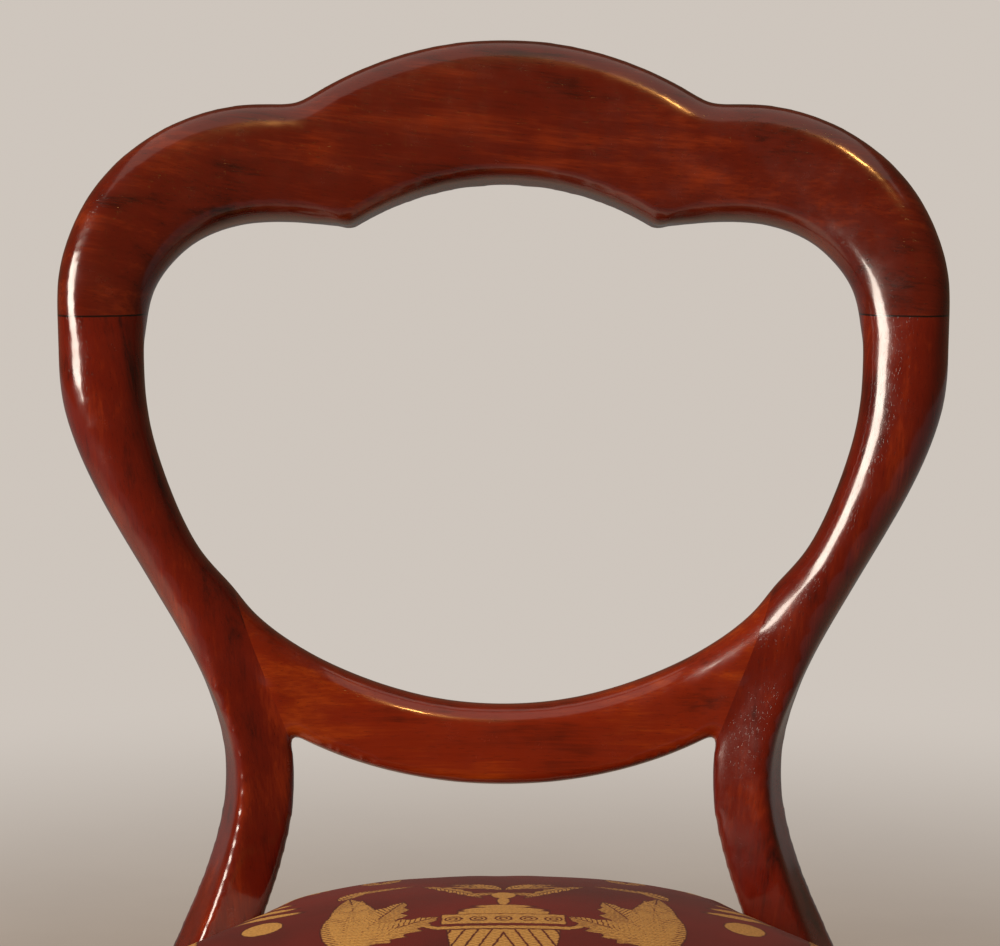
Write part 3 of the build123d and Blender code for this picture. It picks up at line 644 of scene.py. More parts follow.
    def rosette(self, tree: Tree, across: Socket, rows: Socket) -> Socket:
        """How far a point lies from the lines of the nearest rosette in a band.

        Args:
            tree: The node tree.
            across: The point's distance from the urn's middle.
            rows: Its distance from the band's middle.

        Returns:
            The distance from the lines' edges, in millimetres.
        """
        around = math_of(tree, "PINGPONG", across, self.rosette_pitch / 2)
        squares = [math_of(tree, "POWER", way, 2.0) for way in (around, rows)]
        reach = math_of(tree, "SQRT", math_of(tree, "ADD", *squares))
        lines = [
            math_of(tree, "ABSOLUTE", math_of(tree, "SUBTRACT", reach, radius))
            for radius in self.rosette_radii
        ]
        return math_of(tree, "SUBTRACT", math_of(tree, "MINIMUM", *lines), self.rosette_line)

    def urn(self, tree: Tree, place: Socket) -> Socket:
        """How deep a point lies inside the urn's body or bands, with their ornament left out.

        Args:
            tree: The node tree.
            place: The point's place within the repeat.

        Returns:
            The depth, in millimetres.
        """
        parts = add(tree, "SeparateXYZ", {0: place})
        across, along = parts.outputs[0], parts.outputs[1]
        body = self.oval(tree, place, self.body)
        body = math_of(tree, "MINIMUM", body, math_of(tree, "SUBTRACT", self.body_top, along))
        fan = math_of(tree, "MULTIPLY_ADD", along, self.flute_slant, across)
        half_pitch, half_gap = self.flute
        flute = math_of(tree, "SUBTRACT", math_of(tree, "PINGPONG", fan, half_pitch), half_gap)
        body = math_of(tree, "MINIMUM", body, flute)
        for band in self.bands:
            rows = math_of(tree, "ABSOLUTE", math_of(tree, "SUBTRACT", along, band.middle))
            inside = math_of(tree, "SUBTRACT", band.high, rows)
            inside = math_of(tree, "MINIMUM", inside, math_of(tree, "SUBTRACT", band.wide, across))
            if band.rosettes:
                inside = math_of(tree, "MINIMUM", inside, self.rosette(tree, across, rows))
            body = math_of(tree, "MAXIMUM", body, inside)
        return body

    def make(self) -> bpy.types.Material:
        """Builds the material.

        Returns:
            The finished material.
        """
        material, tree, shader = new_material(self.name)
        place = self.place(tree)
        inside = self.urn(tree, place)
        for oval in self.ovals:
            inside = math_of(tree, "MAXIMUM", inside, self.oval(tree, place, oval))
        for leaf in self.leaves:
            inside = math_of(tree, "MAXIMUM", inside, self.leaf(tree, place, leaf))
        gold = share_of(tree, inside, -self.soft_edge, self.soft_edge)
        cloth = add(tree, "Attribute", attribute_name="cloth").outputs["Vector"]
        weave = threads(tree, cloth, (self.rib_pitch, self.rib_pitch * 0.6))
        ribs = threads(tree, cloth, (self.rib_pitch * 2.2, self.rib_pitch))
        shade = add(tree, "TexNoise", {"Vector": cloth, "Scale": self.shade_scale, "Detail": 5.0}).outputs[0]
        yarn = add(tree, "TexNoise", {"Vector": cloth, "Scale": self.yarn_scale, "Detail": 3.0}).outputs[0]
        # the satin's tone is partly its own uneven colour and partly painted shade, darker between the
        # threads of the weave
        tone = math_of(tree, "MULTIPLY_ADD", weave, 0.25, math_of(tree, "MULTIPLY", shade, 0.75))
        satin = ramp(tree, tone, [(0.35, self.ground_dark), (0.62, self.ground)])
        # the gold's tone is partly its yarn's own uneven colour and partly painted shade, darker in the
        # grooves between its ribs
        tone = math_of(tree, "MULTIPLY_ADD", ribs, 0.45, math_of(tree, "MULTIPLY", yarn, 0.6))
        threads_of_gold = ramp(tree, tone, [(0.3, self.gold_dark), (0.66, self.gold)])
        colour = mixed(tree, gold, satin, threads_of_gold)
        # the height of the weave leaves the pattern out, because a bump would work it out three times
        smooth = bumped(tree, weave, self.satin_relief)
        ribbed = bumped(tree, ribs, self.gold_relief)
        normal = add(tree, "Mix", {0: gold, 4: smooth, 5: ribbed}, data_type="VECTOR").outputs[1]
        outline = math_of(tree, "ABSOLUTE", math_of(tree, "ADD", inside, self.soft_edge))
        shadow = math_of(tree, "MULTIPLY", share_of(tree, outline, *self.shadow_edges), self.edge_shadow)
        colour = mixed(tree, shadow, colour, linear(self.ground_shadow))
        rough = add(tree, "MapRange", {0: gold, 3: self.roughness[0], 4: self.roughness[1]}).outputs[0]
        plug(tree, shader, Base_Color=colour, Roughness=rough, Normal=normal)
        shader.inputs["Specular IOR Level"].default_value = 0.2
        shader.inputs["Sheen Weight"].default_value = 0.05
        return material


# ---- meshes ----
def new_object(
    name: str, mesh: bpy.types.Mesh, material: bpy.types.Material | None = None
) -> bpy.types.Object:
    """Puts a mesh into the scene, shaded smooth.

    Args:
        name: The object's name.
        mesh: Its mesh.
        material: Its finish.

    Returns:
        The new object.
    """
    made = bpy.data.objects.new(name, mesh)
    bpy.context.scene.collection.objects.link(made)
    mesh.materials.clear()
    if material is not None:
        mesh.materials.append(material)
    mesh.shade_smooth()
    return made


def declared(piece: bpy.types.Object, node: str) -> bpy.types.Object:
    """Hides the CAD node that a piece stands for, and fixes the piece to the chair.

    Args:
        piece: The finished piece.
        node: The CAD node that it replaces.

    Returns:
        The piece.
    """
    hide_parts(node)
    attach(piece, "root")
    log.info("%s: %d points", piece.name, len(piece.data.vertices))
    return piece


def settled(piece: bpy.types.Object) -> None:
    """Applies a piece's modifiers to its mesh.

    Args:
        piece: The piece, which gets a new mesh.
    """
    graph = bpy.context.evaluated_depsgraph_get()
    mesh = bpy.data.meshes.new_from_object(piece.evaluated_get(graph))
    piece.modifiers.clear()
    piece.data = mesh


def points_of(mesh: bpy.types.Mesh) -> np.ndarray:
    """Reads a mesh's points.

    Args:
        mesh: The mesh.

    Returns:
        Rows of x, y and z, in millimetres.
    """
    flat = np.zeros(len(mesh.vertices) * 3)
    mesh.vertices.foreach_get("co", flat)
    return flat.reshape(-1, 3) / MM


def move_points(mesh: bpy.types.Mesh, points: np.ndarray) -> None:
    """Gives a mesh new points, in millimetres."""
    mesh.vertices.foreach_set("co", (points * MM).ravel())
    mesh.update()


def keep_vectors(mesh: bpy.types.Mesh, name: str, values: np.ndarray) -> None:
    """Stores a vector for each point, for the finish to read."""
    attribute = mesh.attributes.get(name) or mesh.attributes.new(name, "FLOAT_VECTOR", "POINT")
    attribute.data.foreach_set("vector", values.astype(np.float32).ravel())


def without_faces(mesh: bpy.types.Mesh, doomed: np.ndarray) -> None:
    """Deletes some faces, with what only they used.

    Args:
        mesh: The mesh.
        doomed: For each face, whether it goes.
    """
    shape = bmesh.new()
    shape.from_mesh(mesh)
    shape.faces.ensure_lookup_table()
    bmesh.ops.delete(shape, geom=[shape.faces[index] for index in np.flatnonzero(doomed)], context="FACES")
    shape.to_mesh(mesh)
    shape.free()


def cutter_of(node: str, growth: float) -> bpy.types.Object:
    """A closed and grown copy of a CAD node's surface, to cut cloth with.

    Args:
        node: The node's name.
        growth: How far its surface moves outwards, in millimetres.

    Returns:
        The copy, as a new object.
    """
    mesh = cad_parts[node].data.copy()
    shape = bmesh.new()
    shape.from_mesh(mesh)
    bmesh.ops.remove_doubles(shape, verts=shape.verts, dist=WELD * MM)
    bmesh.ops.recalc_face_normals(shape, faces=shape.faces)
    shape.normal_update()
    for vertex in shape.verts:
        vertex.co += vertex.normal * growth * MM
    shape.to_mesh(mesh)
    shape.free()
    return new_object(f"cutter_{node}", mesh, new_material("cut_edge")[0])


def tree_of(mesh: bpy.types.Mesh) -> BVHTree:
    """A mesh's surface, to measure distances from."""
    points = [vertex.co for vertex in mesh.vertices]
    return BVHTree.FromPolygons(points, [face.vertices for face in mesh.polygons])


def smooth_share(value: np.ndarray, low: float, high: float) -> np.ndarray:
    """0 below low, 1 above high, and a smooth change between them."""
    share = np.clip((value - low) / (high - low), 0, 1)
    return share * share * (3 - 2 * share)


# ---- the seat ----
@dataclass
class SeatForm:
    """The stuffed seat as one smooth form. A depth is measured inwards from the outside of the cover."""

    front_half_width: float = 235.0
    back_half_width: float = 178.0
    front_bow: float = 13.0
    front_corner: float = 42.0
    back_corner: float = 38.0
    dome_front: float = 183.0  # from the front to the highest point of the dome
    dome_width_radius: float = 620.0
    dome_depth_radius: float = 640.0
    edge_round: float = 34.0
    corner_fall: float = 44.0  # how far the stuffing sinks beside the uprights
    fall_across: tuple[float, float] = (118.0, 190.0)
    fall_along: tuple[float, float] = (-20.0, 110.0)
    least_top: float = 414.0  # keeps the cover above the rails
    least_blend: float = 4.0  # how softly the top meets that height
    least_wall: float = 2.0  # of a side, where the top comes down to the underside
    belly: float = 1.5  # of the upright sides
    edge_slack: float = 25.0  # how slowly the cloth's pattern runs on over the edge
    corner_rounds: int = 6  # of working out where a front corner turns
    arc_steps: int = 12
    side_steps: int = 40
    wall_steps: int = 18
    inner_steps: int = 36

    def __post_init__(self) -> None:
        """Takes the seat's place from the frame."""
        low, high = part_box("seat_cover")
        self.front, self.back = low[1] / MM, high[1] / MM
        self.bottom, self.crown = low[2] / MM, high[2] / MM
        self.dome_middle = self.front + self.dome_front
        self.side_start = self.front + self.front_bow
        self.run = Vector((self.back_half_width - self.front_half_width, self.back - self.side_start))
        self.bow_radius = (self.front_half_width**2 + self.front_bow**2) / (2 * self.front_bow)
        self.bow_middle = self.front + self.bow_radius

    def side_x(self, y: float, depth: float) -> float:
        """X of the straight right side at y."""
        slope = self.run.x / self.run.y
        return self.front_half_width + slope * (y - self.side_start) - depth * self.run.length / self.run.y

    def corner_middle(self) -> tuple[float, float]:
        """The point round which the right front corner turns.

        Returns:
            Its x and y.
        """
        x, y = self.front_half_width, self.front
        for _ in range(self.corner_rounds):
            y = self.bow_middle - math.sqrt((self.bow_radius - self.front_corner) ** 2 - x**2)
            x = self.side_x(y, self.front_corner)
        return x, y

    def outline(self, depth: float) -> np.ndarray:
        """The plan's closed outline, from the middle of the front by way of the right side.

        Args:
            depth: How far inside the cover it lies.

        Returns:
            Rows of x and y.
        """
        corner_x, corner_y = self.corner_middle()
        back_y = self.back - self.back_corner
        back_x = self.side_x(back_y, self.back_corner)
        bow_angle = math.atan2(corner_x, self.bow_middle - corner_y)
        side_angle = math.atan2(-self.run.x, self.run.y)
        shares = np.arange(self.side_steps) / self.side_steps
        turns = np.arange(self.arc_steps + 1) / self.arc_steps
        angles = bow_angle * shares
        reach = self.bow_radius - depth
        bow = np.column_stack([reach * np.sin(angles), self.bow_middle - reach * np.cos(angles)])
        angles = bow_angle - math.pi / 2 + (side_angle + math.pi / 2 - bow_angle) * turns
        reach = self.front_corner - depth
        corner = np.column_stack([corner_x + reach * np.cos(angles), corner_y + reach * np.sin(angles)])
        angles = side_angle + (math.pi / 2 - side_angle) * turns
        reach = self.back_corner - depth
        heel = np.column_stack([back_x + reach * np.cos(angles), back_y + reach * np.sin(angles)])
        side = corner[-1] + (heel[0] - corner[-1]) * shares[1:, None]
        back = heel[-1] * np.column_stack([1 - shares[2::2], np.ones(len(shares[2::2]))])
        middle = np.array([[0.0, self.back - depth]])
        right = np.vstack([bow, corner, side, heel, back, middle])
        return np.vstack([right, right[-2:0:-1] * (-1, 1)])

    def outside(self, x: np.ndarray, y: np.ndarray) -> np.ndarray:
        """How far points lie outside the plan.

        Args:
            x: Their places from left to right.
            y: Their places from front to back.

        Returns:
            The distances, which are less than zero inside it.
        """

        def rounded(first: np.ndarray, second: np.ndarray, radius: float) -> np.ndarray:
            """Joins two edges by a corner of a radius."""
            first, second = first + radius, second + radius
            corner = np.hypot(np.maximum(first, 0), np.maximum(second, 0))
            return corner + np.minimum(np.maximum(first, second), 0) - radius

        beyond_side = (np.abs(x) - self.side_x(y, 0)) * self.run.y / self.run.length
        beyond_front = np.hypot(x, y - self.bow_middle) - self.bow_radius
        front = rounded(beyond_side, beyond_front, self.front_corner)
        return np.maximum(front, rounded(beyond_side, y - self.back, self.back_corner))

    def top(self, x: np.ndarray, y: np.ndarray, depth: float = 0.0) -> np.ndarray:
        """Height of the dome before its edge is rounded off.

        Args:
            x: Places from left to right.
            y: Places from front to back.
            depth: How far inside the outside of the cover it lies.

        Returns:
            The heights.
        """
        width_radius, depth_radius = self.dome_width_radius - depth, self.dome_depth_radius - depth
        swing = depth_radius - width_radius + np.sqrt(width_radius**2 - x**2)
        height = self.crown - self.dome_depth_radius + np.sqrt(swing**2 - (y - self.dome_middle) ** 2)
        fall = smooth_share(np.abs(x), *self.fall_across) * smooth_share(y, *self.fall_along)
        height = height - self.corner_fall * fall
        least = self.least_top - depth
        above = height - least
        return least + (above + np.sqrt(above**2 + self.least_blend**2)) / 2

    def skin(self, depth: float, bottom: float, open_below: bool = False) -> bpy.types.Mesh:
        """A skin at some depth inside the cover.

        Args:
            depth: How far inside the outside of the cover it lies.
            bottom: Height of its flat underside.
            open_below: Leaves the underside out.

        Returns:
            The mesh, in metres.
        """
        middle = np.array([0.0, (self.front + self.back) / 2])
        rim = self.outline(depth)
        edge_round = self.edge_round - depth
        foot = np.maximum(self.top(*rim.T, depth) - edge_round, bottom + self.least_wall)
        rings = []
        if not open_below:
            for share in (0.25, 0.6, 0.9):
                rings.append(np.column_stack([middle + (rim - middle) * share, np.full(len(rim), bottom)]))
        for share in np.arange(self.wall_steps) / self.wall_steps:
            ring = self.outline(depth - self.belly * math.sin(math.pi * share))
            rings.append(np.column_stack([ring, bottom + (foot - bottom) * share]))
        for angle in np.linspace(0, math.pi / 2, self.arc_steps, endpoint=False):
            ring = self.outline(depth + edge_round * (1 - math.cos(angle)))
            height = self.top(*ring.T, depth) - edge_round * (1 - math.sin(angle))
            rings.append(np.column_stack([ring, np.maximum(height, bottom + self.least_wall)]))
        last = self.outline(depth + edge_round)
        for share in np.arange(self.inner_steps) / self.inner_steps:
            ring = middle + (last - middle) * (1 - share)
            height = np.maximum(self.top(*ring.T, depth), bottom + self.least_wall)
            rings.append(np.column_stack([ring, height]))
        return self.closed(rings, not open_below)

    def closed(self, rings: list[np.ndarray], below: bool = False) -> bpy.types.Mesh:
        """Joins rings of points, from the lowest up, into one skin.

        Args:
            rings: Rows of x, y and z for each ring.
            below: Closes the first ring, too.

        Returns:
            The mesh, in metres.
        """
        shape = bmesh.new()
        rows = [[shape.verts.new(Vector(point) * MM) for point in ring] for ring in rings]
        count = len(rows[0])
        for lower, upper in zip(rows, rows[1:]):
            for index in range(count):
                after = (index + 1) % count
                shape.faces.new((lower[index], lower[after], upper[after], upper[index]))
        caps = [(rows[-1], 1)] + [(rows[0], -1)] * below
        for row, way in caps:
            centre = shape.verts.new(sum((vertex.co for vertex in row), Vector()) / count)
            for index in range(count):
                pair = (row[index], row[(index + 1) % count])[::way]
                shape.faces.new((*pair, centre))
        mesh = bpy.data.meshes.new("skin")
        shape.to_mesh(mesh)
        shape.free()
        return mesh

    def cloth_places(self, points: np.ndarray) -> np.ndarray:
        """Where each point of the cover lies on the flat cloth that it was cut from.

        Args:
            points: Rows of x, y and z.

        Returns:
            Rows of two lengths along the cloth and a zero.
        """
        x, y, z = points.T
        away_x = self.outside(x + 1, y) - self.outside(x - 1, y)
        away_y = self.outside(x, y + 1) - self.outside(x, y - 1)
        length = np.maximum(np.hypot(away_x, away_y), 1e-6)
        drop = np.maximum(self.top(x, y) - z, 0)
        extra = drop**2 / (drop + self.edge_slack)
        return np.column_stack([x + away_x / length * extra, y + away_y / length * extra, np.zeros(len(x))])


@dataclass
class StuffedCover:
    """The damask cover: swollen over its stuffing, pleated, tucked round the uprights and turned under."""

    form: SeatForm
    voxel: float = 6.0
    start_depth: float = 4.6  # the pad swells, so it starts this far inside
    most_swell: float = 6.0
    pressure: float = 4.0
    frames: int = 20
    held_band: tuple[float, float] = (4.0, 22.0)  # above the bottom, where the tacks' hold on the cloth ends
    hem_depth: float = 24.0  # how far under the seat the hem reaches
    hem_height: float = 0.6  # above the seat's lowest point
    under_height: float = 4.0  # up to which a face belongs to the underside
    thickness: float = 1.2
    room: float = 0.4  # between the cloth's cut edge and the wood
    leg_room: float = 1.0
    tuck_reach: float = 18.0
    tuck_depth: float = 5.0
    tuck_behind: float = 40.0
    tuck_above: float = 25.0
    pleat_turns: tuple[float, ...] = (-62.0, -40.0, -18.0)  # round each front corner, in degrees
    pleat_width: float = 3.6
    pleat_depth: float = 1.8
    pleat_soft_side: float = 2.6  # times as wide as the steep side
    pleat_drop: tuple[float, float] = (4.0, 30.0)  # below the dome, where the pleats begin and are full
    pleat_foot: float = 8.0  # above the bottom, below which they die out
    pleat_core: float = 8.0  # round the corner's middle, where there are none
    weld: float = 0.15  # points that lie closer become one
    least_edge: float = 0.1  # what is shorter goes

    def build(self) -> None:
        """Makes the cover from a closed skin."""
        uprights = [cutter_of(name, self.room) for name in ("left_upright", "right_upright")]
        legs = [cutter_of(name, self.leg_room) for name in ("left_front_leg", "right_front_leg")]
        skin = self.form.skin(self.start_depth, self.form.bottom + self.hem_height)
        cover = new_object("stuffed_cover", skin, CrimsonDamask().make())
        self.swell(cover)
        self.pleat(cover)
        self.tuck(cover, uprights)
        for cutter in uprights + legs:
            self.cut(cover, cutter)
        self.open_underneath(cover)
        keep_vectors(cover.data, "cloth", self.form.cloth_places(points_of(cover.data)))
        solid = cover.modifiers.new("thickness", "SOLIDIFY")
        solid.thickness = self.thickness * MM
        solid.thickness_clamp = 1.0
        solid.offset = -1
        settled(cover)
        cover.data.shade_smooth()
        declared(cover, "seat_cover")

    def swell(self, cover: bpy.types.Object) -> None:
        """Lets the cover swell over its stuffing by a short cloth simulation.

        Args:
            cover: The closed skin, which gets new points.
        """
        even = cover.modifiers.new("even_cloth", "REMESH")
        even.mode = "VOXEL"
        even.voxel_size = self.voxel * MM
        settled(cover)
        start = points_of(cover.data)
        held = cover.vertex_groups.new(name="held")
        weights = 1 - smooth_share(start[:, 2] - self.form.bottom, *self.held_band)
        for index in np.flatnonzero(weights > 0):
            held.add([int(index)], float(weights[index]), "REPLACE")
        cloth = cover.modifiers.new("cloth", "CLOTH")
        cloth.settings.vertex_group_mass = "held"
        cloth.settings.use_pressure = True
        cloth.settings.uniform_pressure_force = self.pressure
        cloth.settings.effector_weights.gravity = 0
        cloth.point_cache.frame_start = 1
        cloth.point_cache.frame_end = self.frames
        for step in range(1, self.frames + 1):
            bpy.context.scene.frame_set(step)
        settled(cover)
        bpy.context.scene.frame_set(1)
        moved = points_of(cover.data) - start
        reach = np.maximum(np.linalg.norm(moved, axis=1), 1e-6)
        share = np.minimum(reach, self.most_swell) / reach
        move_points(cover.data, start + moved * share[:, None])
        log.info("cover swells by %.1f mm at most, kept to %.1f mm", reach.max(), self.most_swell)
        finer = cover.modifiers.new("finer", "SUBSURF")
        finer.levels = 1
        finer.render_levels = 1
        settled(cover)

    def pleat(self, cover: bpy.types.Object) -> None:
        """Presses the folded pleats into the front corners.

        Args:
            cover: The swollen cover.
        """
        points = points_of(cover.data)
        corner_x, corner_y = self.form.corner_middle()
        for side in (-1, 1):
            away = points[:, :2] * (side, 1) - (corner_x, corner_y)
            reach = np.hypot(*away.T)
            angle = np.arctan2(away[:, 1], away[:, 0])
            drop = self.form.top(points[:, 0], points[:, 1]) - points[:, 2]
            height = points[:, 2] - self.form.bottom
            low = smooth_share(drop, *self.pleat_drop) * smooth_share(height, 0, self.pleat_foot)
            for turn in self.pleat_turns:
                off = (angle - math.radians(turn)) * reach / self.pleat_width
                # a steep lip on one side of each fold and a soft one on the other
                groove = np.exp(-(np.where(off > 0, off, off / self.pleat_soft_side) ** 2))
                inward = groove * low * self.pleat_depth * (reach > self.pleat_core)
                points[:, :2] -= away * (side, 1) / np.maximum(reach, 1)[:, None] * inward[:, None]
        move_points(cover.data, points)

    def tuck(self, cover: bpy.types.Object, cutters: list[bpy.types.Object]) -> None:
        """Pulls the cloth down where it goes in beside the uprights.

        Args:
            cover: The cover.
            cutters: The grown copies of the uprights.
        """
        points = points_of(cover.data)
        near = (points[:, 1] > self.tuck_behind) & (points[:, 2] > self.form.bottom + self.tuck_above)
        for cutter in cutters:
            tree = tree_of(cutter.data)
            for index in np.flatnonzero(near):
                place, _, _, distance = tree.find_nearest(Vector(points[index]) * MM, self.tuck_reach * MM)
                if place is not None:
                    share = 1 - distance / MM / self.tuck_reach
                    points[index, 2] -= self.tuck_depth * share * share
        move_points(cover.data, points)

    def cut(self, cover: bpy.types.Object, cutter: bpy.types.Object) -> None:
        """Cuts the cloth out round a post, and takes the cutter away.

        Args:
            cover: The cover.
            cutter: The grown copy of the post.
        """
        knife = cover.modifiers.new("knife", "BOOLEAN")
        knife.operation = "DIFFERENCE"
        knife.solver = "EXACT"
        knife.material_mode = "TRANSFER"
        knife.object = cutter
        settled(cover)
        slots = np.zeros(len(cover.data.polygons), dtype=int)
        cover.data.polygons.foreach_get("material_index", slots)
        without_faces(cover.data, slots > 0)
        while len(cover.data.materials) > 1:
            cover.data.materials.pop()
        bpy.data.objects.remove(cutter)

    def open_underneath(self, cover: bpy.types.Object) -> None:
        """Leaves only the hem of the underside.

        Args:
            cover: The cover.
        """
        count = len(cover.data.polygons)
        middles = np.zeros(count * 3)
        cover.data.polygons.foreach_get("center", middles)
        x, y, z = middles.reshape(-1, 3).T / MM
        low = z < self.form.bottom + self.under_height
        without_faces(cover.data, low & (self.form.outside(x, y) < -self.hem_depth))
        self.drop_scraps(cover.data)

    def drop_scraps(self, mesh: bpy.types.Mesh) -> None:
        """Removes the slivers that the cuts leave, and what hangs on nothing.

        Args:
            mesh: The cut cover.
        """
        shape = bmesh.new()
        shape.from_mesh(mesh)
        bmesh.ops.remove_doubles(shape, verts=shape.verts, dist=self.weld * MM)
        bmesh.ops.dissolve_degenerate(shape, edges=shape.edges, dist=self.least_edge * MM)
        unseen = set(shape.faces)
        largest: set[bmesh.types.BMFace] = set()
        while unseen:
            patch = {unseen.pop()}
            waiting = list(patch)
            while waiting:
                beside = {other for edge in waiting.pop().edges for other in edge.link_faces} & unseen
                unseen -= beside
                patch |= beside
                waiting.extend(beside)
            largest = max(largest, patch, key=len)
        scraps = [face for face in shape.faces if face not in largest]
        bmesh.ops.delete(shape, geom=scraps, context="FACES")
        shape.to_mesh(mesh)
        shape.free()


@dataclass(frozen=True)
class Layer:
    """One layer of the stuffing: its name, node and finish, how deep it lies and how thick it is."""

    name: str
    node: str
    slot: str
    finish: bpy.types.Material
    depth: float  # inside the outside of the cover
    thickness: float  # zero for a solid mass
    level: float  # of its lowest point


@dataclass
class Stuffing:
    """What lies under the cover: wadding, second stuffing, scrim and first stuffing on hessian."""

    form: SeatForm
    post_room: float = 6.0
    fill: float = 0.9
    spare: float = 1.02  # of the scrim's flat piece, along each side
    hessian_thickness: float = 0.5
    hessian_drop: float = 0.3  # of its upper side, below the top of its node
    hessian_rings: int = 40
    hessian_eye: float = 0.04  # share of its size at which the rings end
    sag: float = 0.25
    sag_lengths: tuple[float, float] = (9.0, 11.0)  # of its waves, in millimetres for each radian

    def build(self) -> None:
        """Makes each layer just inside the one above it."""
        stuffing_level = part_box("first_stuffing")[0][2] / MM
        wadding_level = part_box("wadding")[0][2] / MM
        cotton = LooseFibre("felted_cotton", "#b9b2a4", "#ece7da", (9.0, 1.1)).make()
        hair = LooseFibre("curled_horsehair", "#17110d", "#4a3a2c", (12.0, 1.0)).make()
        scrim = PlainCloth("linen_scrim", "#8c7a5c", "#c9b78f", (1.8, 1.8)).make()
        for layer in (
            Layer("cotton_layer", "wadding", "cotton_wadding", cotton, 7.0, 2.4, wadding_level),
            Layer("second_hair", "second_stuffing", "horsehair", hair, 9.8, 12.5, stuffing_level),
            Layer("scrim_cloth", "scrim", "scrim_cloth", scrim, 22.9, 0.9, stuffing_level),
            Layer("first_hair", "first_stuffing", "horsehair", hair, 24.4, 0.0, stuffing_level),
        ):
            self.lay(layer)
        self.lay_hessian()

    def lay(self, layer: Layer) -> None:
        """Makes and declares one layer.

        Args:
            layer: The layer.
        """
        skin = self.form.skin(layer.depth, layer.level, layer.thickness > 0)
        piece = new_object(layer.name, skin, layer.finish)
        self.clear_of_posts(piece)
        if layer.thickness > 0:
            self.thicken(piece, layer.thickness)
        declared(piece, layer.node)

    def thicken(self, piece: bpy.types.Object, thickness: float) -> None:
        """Gives a skin a thickness, inwards.

        Args:
            piece: The skin.
            thickness: How thick it gets, in millimetres.
        """
        solid = piece.modifiers.new("thickness", "SOLIDIFY")
        solid.thickness = thickness * MM
        solid.offset = -1
        settled(piece)

    def clear_of_posts(self, piece: bpy.types.Object) -> None:
        """Leaves a layer out round the uprights.

        Args:
            piece: The layer.
        """
        middles = [face.center.copy() for face in piece.data.polygons]
        doomed = np.zeros(len(middles), dtype=bool)
        for name in ("left_upright", "right_upright"):
            tree = tree_of(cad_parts[name].data)
            for index, middle in enumerate(middles):
                place, normal, _, distance = tree.find_nearest(middle)
                inside = (middle - place).dot(normal) < 0
                doomed[index] |= inside or distance < self.post_room * MM
        without_faces(piece.data, doomed)

    def lay_hessian(self) -> None:
        """Stretches the hessian over the webbing."""
        low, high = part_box("hessian")
        depth = (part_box("seat_cover")[1][1] - high[1]) / MM
        rim = self.form.outline(depth)
        middle = np.array([0.0, (self.form.front + self.form.back) / 2])
        rings = []
        for share in np.linspace(1, self.hessian_eye, self.hessian_rings):
            ring = middle + (rim - middle) * share
            waves = np.prod(np.sin(ring / self.sag_lengths), axis=1)
            height = high[2] / MM - self.hessian_drop + self.sag * waves * (1 - share)
            rings.append(np.column_stack([ring, height]))
        cloth = PlainCloth("jute_hessian", "#6a5232", "#b09060", (2.4, 2.4), 0.5).make()
        sheet = new_object("hessian_sheet", self.form.closed(rings), cloth)
        self.thicken(sheet, self.hessian_thickness)
        declared(sheet, "hessian")


# ---- the rest of the chair ----
def dress(node: str, material: bpy.types.Material) -> None:
    """Gives a CAD node its finish."""
    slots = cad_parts[node].data.materials
    slots.clear()
    slots.append(material)


